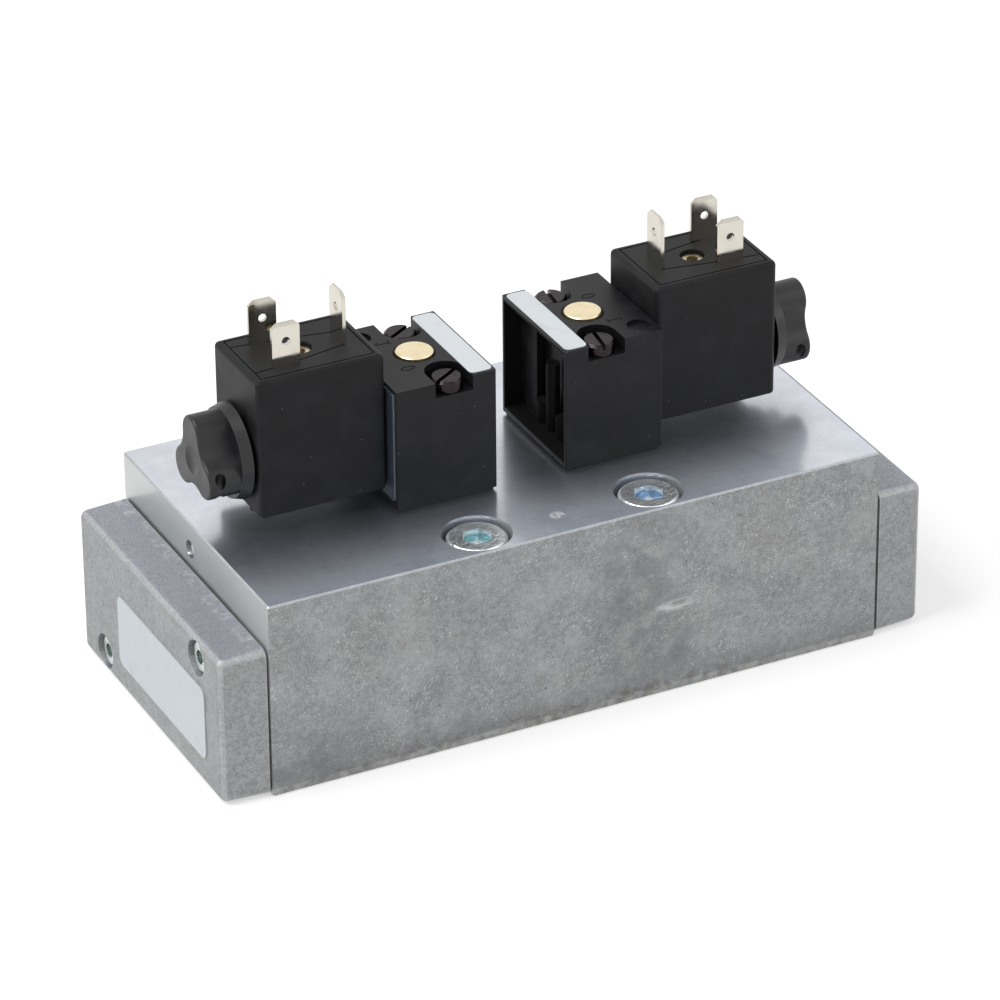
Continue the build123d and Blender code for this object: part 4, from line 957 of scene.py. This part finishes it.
class Dressing:
    """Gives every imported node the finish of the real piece."""

    # Kinds of finish that several pieces share, with the stems of those pieces' names.
    SHARED = {
        "rubber": (
            "base_gasket pilot_gasket override_seal tube_seal plunger_poppet coil_seals "
            "sleeve_seals piston_seals"
        ),
        "inner": (
            "spool spool_sleeve armature_tube fixed_core plunger plunger_spring override_spring"
        ),
        "moulding": "pilot_block piston",
        "blades": "power_blades earth_blade",
        "brass": "override_button terminal_insert pilot_nozzle",
    }

    def __init__(self) -> None:
        """Choose each finish once, by the kind of piece that has it."""
        self.finishes: dict[str, Finish] = {
            "valve_body": GroundAluminium(),
            "end_cover": CastAluminium(),
            "rubber": MouldedRubber(),
            # The cover gaskets are coloured a light grey: painted light that offsets the shade of
            # their narrow recess.
            "cover_gasket": MouldedRubber("rubber_gasket_sheet", "#6a6863", "#7d7b76"),
            "pilot_label": PrintedFilm(),
            # The rating plate takes a darker copy of the label film: painted shade that offsets the
            # key lamp, which it faces.
            "rating_plate": PrintedFilm("polyester_rating_film", "#ccd3d8"),
            "brass": TurnedBrass(),
            **self.plastics(),
            **self.steels(),
        }
        self.kinds = {stem: kind for kind, stems in self.SHARED.items() for stem in stems.split()}
        self.materials: dict[str, bpy.types.Material] = {}

    def plastics(self) -> dict[str, Finish]:
        """Choose the finishes of the black mouldings.

        Returns:
            The finishes by kind.
        """
        # The pilot blocks are hollow at their inner ends, where painted shade darkens them.
        hollows = tuple(((end.value * 9.2, PILOT_Y, 60.3), (2.9, 14.3, 13.3)) for end in End)
        return {
            "moulding": MouldedPlastic("nylon_moulded_satin", hollows=hollows),
            "coil": MouldedPlastic(
                "nylon_moulded_grained", "#0f0f12", roughness=0.45, grain=0.22, depth=0.012
            ),
            "retaining_knob": MouldedPlastic(
                "nylon_moulded_knob", roughness=0.34, sheen=0.5, grain=0.5, depth=0.004, dust=0.2
            ),
        }

    def steels(self) -> dict[str, Finish]:
        """Choose the finishes of the plated and ground metal pieces.

        Returns:
            The finishes by kind.
        """
        # The bolts' hex sockets show a green and a blue passivation, those of the covers a green,
        # each deepened as painted reflection between the sockets' walls.
        bolt_wells = tuple(
            ((x, BOLT_Y, 42.6), (3.7, 3.7, 2.2), shade)
            for x, shade in ((-BOLT_X, "#a3cdd4"), (BOLT_X, "#a0bddb"))
        )
        cover_wells = tuple(
            ((end.value * COVER_X, y, z), (4.0, 1.9, 1.9), "#8fae9f")
            for end in End
            for y, z in ((-end.value * 25.15, 29.9), (end.value * 25.15, 5.4))
        )
        return {
            "mounting_bolts": PlatedSteel(
                "steel_zinc_plated_bolt", "#f4f7f8", roughness=0.33, dents=0.075, sockets=bolt_wells
            ),
            "cover_screws": PlatedSteel(
                "steel_zinc_plated_screw", "#d3dbd8", "#bccbc5", dents=0.02, sockets=cover_wells
            ),
            "pilot_screws": PlatedSteel(
                "steel_black_oxide", "#2e2a2c", "#42343a", dents=0.02, edge="#5b5256"
            ),
            # The yoke plate keeps the pale edge colour, which on its darker plate is a painted
            # highlight.
            "yoke_plate": PlatedSteel(
                "steel_zinc_plated_sheet", "#9aa7b3", "#7f8e9c", roughness=0.36
            ),
            "gallery_plugs": PlatedSteel("steel_ball", "#f3f0ec", "#e0dcd7", roughness=0.3),
            "blades": PlatedSteel(
                "brass_nickel_plated",
                "#d3cec3",
                "#c4beb0",
                roughness=0.1,
                dents=0.001,
                edge="#6f6a60",
            ),
            "inner": PlatedSteel(
                "steel_ground",
                "#c9cacb",
                "#b4b6b9",
                roughness=0.28,
                lines=0.1,
                along=(12.0, 1.0, 1.0),
            ),
        }

    def finish_of(self, node: str) -> bpy.types.Material:
        """Return the material for a node.

        Args:
            node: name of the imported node.

        Returns:
            The material, built at its first use.
        """
        stem = node
        for end in End:
            stem = stem.removesuffix(f"_{end.tag}")
        kind = self.kinds.get(stem, stem)
        if kind not in self.materials:
            self.materials[kind] = self.finishes[kind].material()
        return self.materials[kind]

    def dress(self, nodes: dict[str, bpy.types.Object]) -> None:
        """Put each node's material in its slots.

        Args:
            nodes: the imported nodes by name.
        """
        for name, piece in nodes.items():
            material = self.finish_of(name)
            piece.data.materials.clear()
            piece.data.materials.append(material)
            LOG.info("%s: %s", name, material.name)


@dataclass
class OverrideMarks:
    """The figures 0 and 1 beside each override button: thin dark plates on the pilot block's top,
    whose colour is painted shade that stands for engraved strokes.

    Attributes:
        from_middle: distance of both figures from the valve's middle.
        zero_y: place of the 0 across the right pilot.
        one_y: place of the 1 across the right pilot.
        height: height of a figure, which runs along X.
        width: width of the 0.
        stroke: width of a stroke.
        foot: how far the 1's foot and flag reach to a side, as a share of that width.
        flag_root: where the flag leaves the stem, in strokes below the 1's top.
        flag_tip: where the flag's upper corner lies, in strokes below it.
        facets: how many sides the 0 is drawn with.
        proud: how far the figure's fill stands over the top.
        cut: finish of the strokes, dull and a little darker than the moulding: painted shade that
            stands for engraved strokes.
    """

    from_middle: float = 24.2
    zero_y: float = 6.0
    one_y: float = -6.2
    height: float = 3.3
    width: float = 1.8
    stroke: float = 0.32
    foot: float = 0.42
    flag_root: float = 2.6
    flag_tip: float = 1.4
    facets: int = 40
    proud: float = 0.03
    # The strokes are dark as painted shade, standing for the shade inside engraved strokes.
    cut: MouldedPlastic = MouldedPlastic("nylon_cut_stroke", "#0a0a0a", "#1c1c1c", 0.85, dust=0.0)

    def zero(self) -> bmesh.types.BMesh:
        """Draw a flat 0, centred, with its height along X.

        Returns:
            The figure.
        """
        mesh = bmesh.new()
        for inset in (0.0, self.stroke):
            ring = bmesh.ops.create_circle(mesh, segments=self.facets, radius=0.5)["verts"]
            size = (self.height - 2 * inset, self.width - 2 * inset, 1.0)
            bmesh.ops.scale(mesh, vec=size, verts=ring)
        bmesh.ops.bridge_loops(mesh, edges=mesh.edges[:])
        return mesh

    def one(self) -> bmesh.types.BMesh:
        """Draw a flat 1, centred, with its height along X and its foot towards the button.

        Returns:
            The figure.
        """
        mesh = bmesh.new()
        half, line = self.height / 2, self.stroke / 2
        flag = self.width * self.foot
        outline = (
            (-half, -flag),
            (-half + self.stroke, -flag),
            (-half + self.stroke, -line),
            (half - self.stroke, -line),
            (half - self.flag_root * self.stroke, -flag - line),
            (half - self.flag_tip * self.stroke, -flag - line),
            (half, -line),
            (half, line),
            (-half + self.stroke, line),
            (-half + self.stroke, flag),
            (-half, flag),
        )
        mesh.faces.new([mesh.verts.new((x, y, 0.0)) for x, y in outline])
        return mesh

    def pair(self, end: End, top: float, shade: bpy.types.Material) -> None:
        """Build both figures of one end.

        Args:
            end: the end of the valve.
            top: height of the pilot block's top, in metres.
            shade: material of the strokes, whose dark colour is painted shade.
        """
        for name, mesh, across in (
            ("zero", self.zero(), self.zero_y),
            ("one", self.one(), self.one_y),
        ):
            raised = bmesh.ops.extrude_face_region(mesh, geom=mesh.faces[:])["geom"]
            verts = [part for part in raised if isinstance(part, bmesh.types.BMVert)]
            bmesh.ops.translate(mesh, vec=(0.0, 0.0, 2 * self.proud), verts=verts)
            bmesh.ops.recalc_face_normals(mesh, faces=mesh.faces)
            turn = Matrix.Rotation(0.0 if end is End.RIGHT else math.pi, 4, "Z")
            place = turn @ Matrix.Translation((self.from_middle, across, -self.proud))
            middle = Matrix.Translation((0.0, PILOT_Y * MM, top))
            bmesh.ops.transform(mesh, matrix=middle @ Matrix.Scale(MM, 4) @ place, verts=mesh.verts)
            data = bpy.data.meshes.new(f"mark_{name}_{end.tag}")
            mesh.to_mesh(data)
            mesh.free()
            data.materials.append(shade)
            piece = bpy.data.objects.new(data.name, data)
            bpy.context.scene.collection.objects.link(piece)
            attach(piece, "valve")
            LOG.info("%s: %d faces", piece.name, len(data.polygons))

    def build(self) -> None:
        """Build the figures of both ends."""
        shade = self.cut.material()
        for end in End:
            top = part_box(f"pilot_block_{end.tag}")[1].z
            self.pair(end, top, shade)


@dataclass
class ReturnSprings:
    """The springs behind the buttons and the plungers, each given a mesh of its own.

    Attributes:
        button_travel: travel of an override button; not used.
        plunger_travel: travel of a plunger; not used.
    """

    button_travel: float = 1.5
    plunger_travel: float = 1.0

    def shorten(self, node: str) -> None:
        """Give one spring a mesh of its own.

        Args:
            node: name of the spring's node.
        """
        spring = bpy.data.objects[node]
        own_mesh(spring)

    def build(self) -> None:
        """Give all four springs meshes of their own."""
        for end in End:
            side, outwards = end.tag, int(end is End.RIGHT)
            self.shorten(f"override_spring_{side}")
            self.shorten(f"plunger_spring_{side}")


@dataclass(frozen=True)
class SoftLamp:
    """A square area lamp that faces the valve.

    Attributes:
        name: name of the lamp.
        place: where it hangs, in metres.
        size: side of the square, in metres.
        power: its power in watts.
        target: the point that it faces, in metres.
    """

    name: str
    place: Triple
    size: float
    power: float
    target: Triple = (0.0, 0.0, 0.03)

    def build(self) -> None:
        """Hang the lamp."""
        data = bpy.data.lights.new(self.name, "AREA")
        data.shape = "SQUARE"
        data.size = self.size
        data.energy = self.power
        lamp = bpy.data.objects.new(self.name, data)
        lamp.location = self.place
        aim = Vector(self.target) - Vector(self.place)
        lamp.rotation_euler = aim.to_track_quat("-Z", "Y").to_euler()
        bpy.context.scene.collection.objects.link(lamp)
        LOG.info("%s lamp: %.0f W", self.name, self.power)


@dataclass
class Studio:
    """Pale floor, plain soft light, and the camera at the photograph's angle.

    Attributes:
        body_length: length that the camera's distances are counted in.
        azimuth: turn of the camera from the front, in degrees.
        elevation: its height angle, in degrees.
        roll: its roll, in degrees.
        aside: shift of the view's middle to the right, in body lengths.
        above: shift of the view's middle upwards, in body lengths.
        distance: distance of the camera, in body lengths.
        lens: focal length of the camera.
        sensor: width of its sensor.
        reach: nearest and farthest distance that it shows, in metres.
        floor_size: side of the floor, in metres.
        paper: linear grey of the floor.
        lift: light that the floor adds where it is seen, which makes it white.
        soft: strength of the world's light on the valve, where one shows as white.
        lamps: the lamps.
    """

    body_length: float = 143.0
    azimuth: float = -26.35751
    elevation: float = 29.19378
    roll: float = -0.458751
    aside: float = -0.00372281
    above: float = 0.20505765
    distance: float = 8.60875875
    lens: float = 204.67
    sensor: float = 36.0
    reach: tuple[float, float] = (0.05, 50.0)
    floor_size: float = 8.0
    paper: float = 0.8
    lift: float = 0.45
    soft: float = 0.45
    lamps: tuple[SoftLamp, ...] = (
        SoftLamp("key", (-1.1, 0.15, 1.6), 1.1, 20.0),
        SoftLamp("fill", (1.2, -0.9, 0.9), 0.9, 4.0),
    )

    def camera(self) -> None:
        """Place the camera and make it the scene's."""
        turn, rise, roll = (math.radians(a) for a in (self.azimuth, self.elevation, self.roll))
        back = Vector(
            (math.sin(turn) * math.cos(rise), -math.cos(turn) * math.cos(rise), math.sin(rise))
        )
        level = Vector((math.cos(turn), math.sin(turn), 0.0))
        upright = back.cross(level)
        right = level * math.cos(roll) + upright * math.sin(roll)
        up = upright * math.cos(roll) - level * math.sin(roll)
        place = right * self.aside + up * self.above + back * self.distance
        data = bpy.data.cameras.new("camera")
        data.lens = self.lens
        data.sensor_width = self.sensor
        data.clip_start, data.clip_end = self.reach
        camera = bpy.data.objects.new("camera", data)
        axes = Matrix((right, up, back)).transposed().to_4x4()
        camera.matrix_world = Matrix.Translation(place * self.body_length * MM) @ axes
        bpy.context.scene.collection.objects.link(camera)
        bpy.context.scene.camera = camera

    def shown(self, tree: bpy.types.NodeTree) -> Socket:
        """Return one for rays that show the background: from the camera, a mirror or glass.

        Args:
            tree: node tree of the world or the floor.

        Returns:
            The mask.
        """
        path = add_node(tree, "ShaderNodeLightPath")
        shown = path.outputs["Is Camera Ray"]
        for other in ("Is Glossy Ray", "Is Transmission Ray"):
            links = {0: shown, 1: path.outputs[other]}
            either = add_node(tree, "ShaderNodeMath", {"operation": "MAXIMUM"}, links)
            shown = either.outputs["Value"]
        return shown

    def world(self) -> None:
        """Make a world that shows white and lights the object softly."""
        world = bpy.data.worlds.new("studio")
        world.use_nodes = True
        tree = world.node_tree
        background = tree.nodes["Background"]
        background.inputs["Color"].default_value = linear("#ffffff")
        strength = add_node(
            tree,
            "ShaderNodeMapRange",
            {"To Min": self.soft, "To Max": 1.0},
            {"Value": self.shown(tree)},
        )
        tree.links.new(strength.outputs["Result"], background.inputs["Strength"])
        bpy.context.scene.world = world

    def floor(self) -> None:
        """Lay the floor: matt white, lifted to white where it is seen, with the shadow kept."""
        mesh = bmesh.new()
        bmesh.ops.create_grid(mesh, x_segments=1, y_segments=1, size=self.floor_size / 2)
        data = bpy.data.meshes.new("floor")
        mesh.to_mesh(data)
        mesh.free()
        paper = Surface("floor_paper")
        lift = paper.share(self.shown(paper.tree), self.lift)
        grey = (self.paper, self.paper, self.paper, 1.0)
        material = paper.finish(
            {
                "Base Color": grey,
                "Roughness": 1.0,
                "Specular IOR Level": 0.0,
                "Emission Color": linear("#ffffff"),
            },
            {"Emission Strength": lift},
        )
        data.materials.append(material)
        floor = bpy.data.objects.new("floor", data)
        bpy.context.scene.collection.objects.link(floor)

    def build(self) -> None:
        """Build the whole studio."""
        self.camera()
        self.world()
        self.floor()
        for lamp in self.lamps:
            lamp.build()
        bpy.context.scene.view_settings.view_transform = "Standard"


def main() -> None:
    """Load the frame, dress it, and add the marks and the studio."""
    logging.basicConfig(level=logging.INFO, format="%(name)s %(message)s")
    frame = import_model()
    Studio().build()
    Dressing().dress(frame["nodes"])
    ReturnSprings().build()
    OverrideMarks().build()


if __name__ == "__main__":
    main()
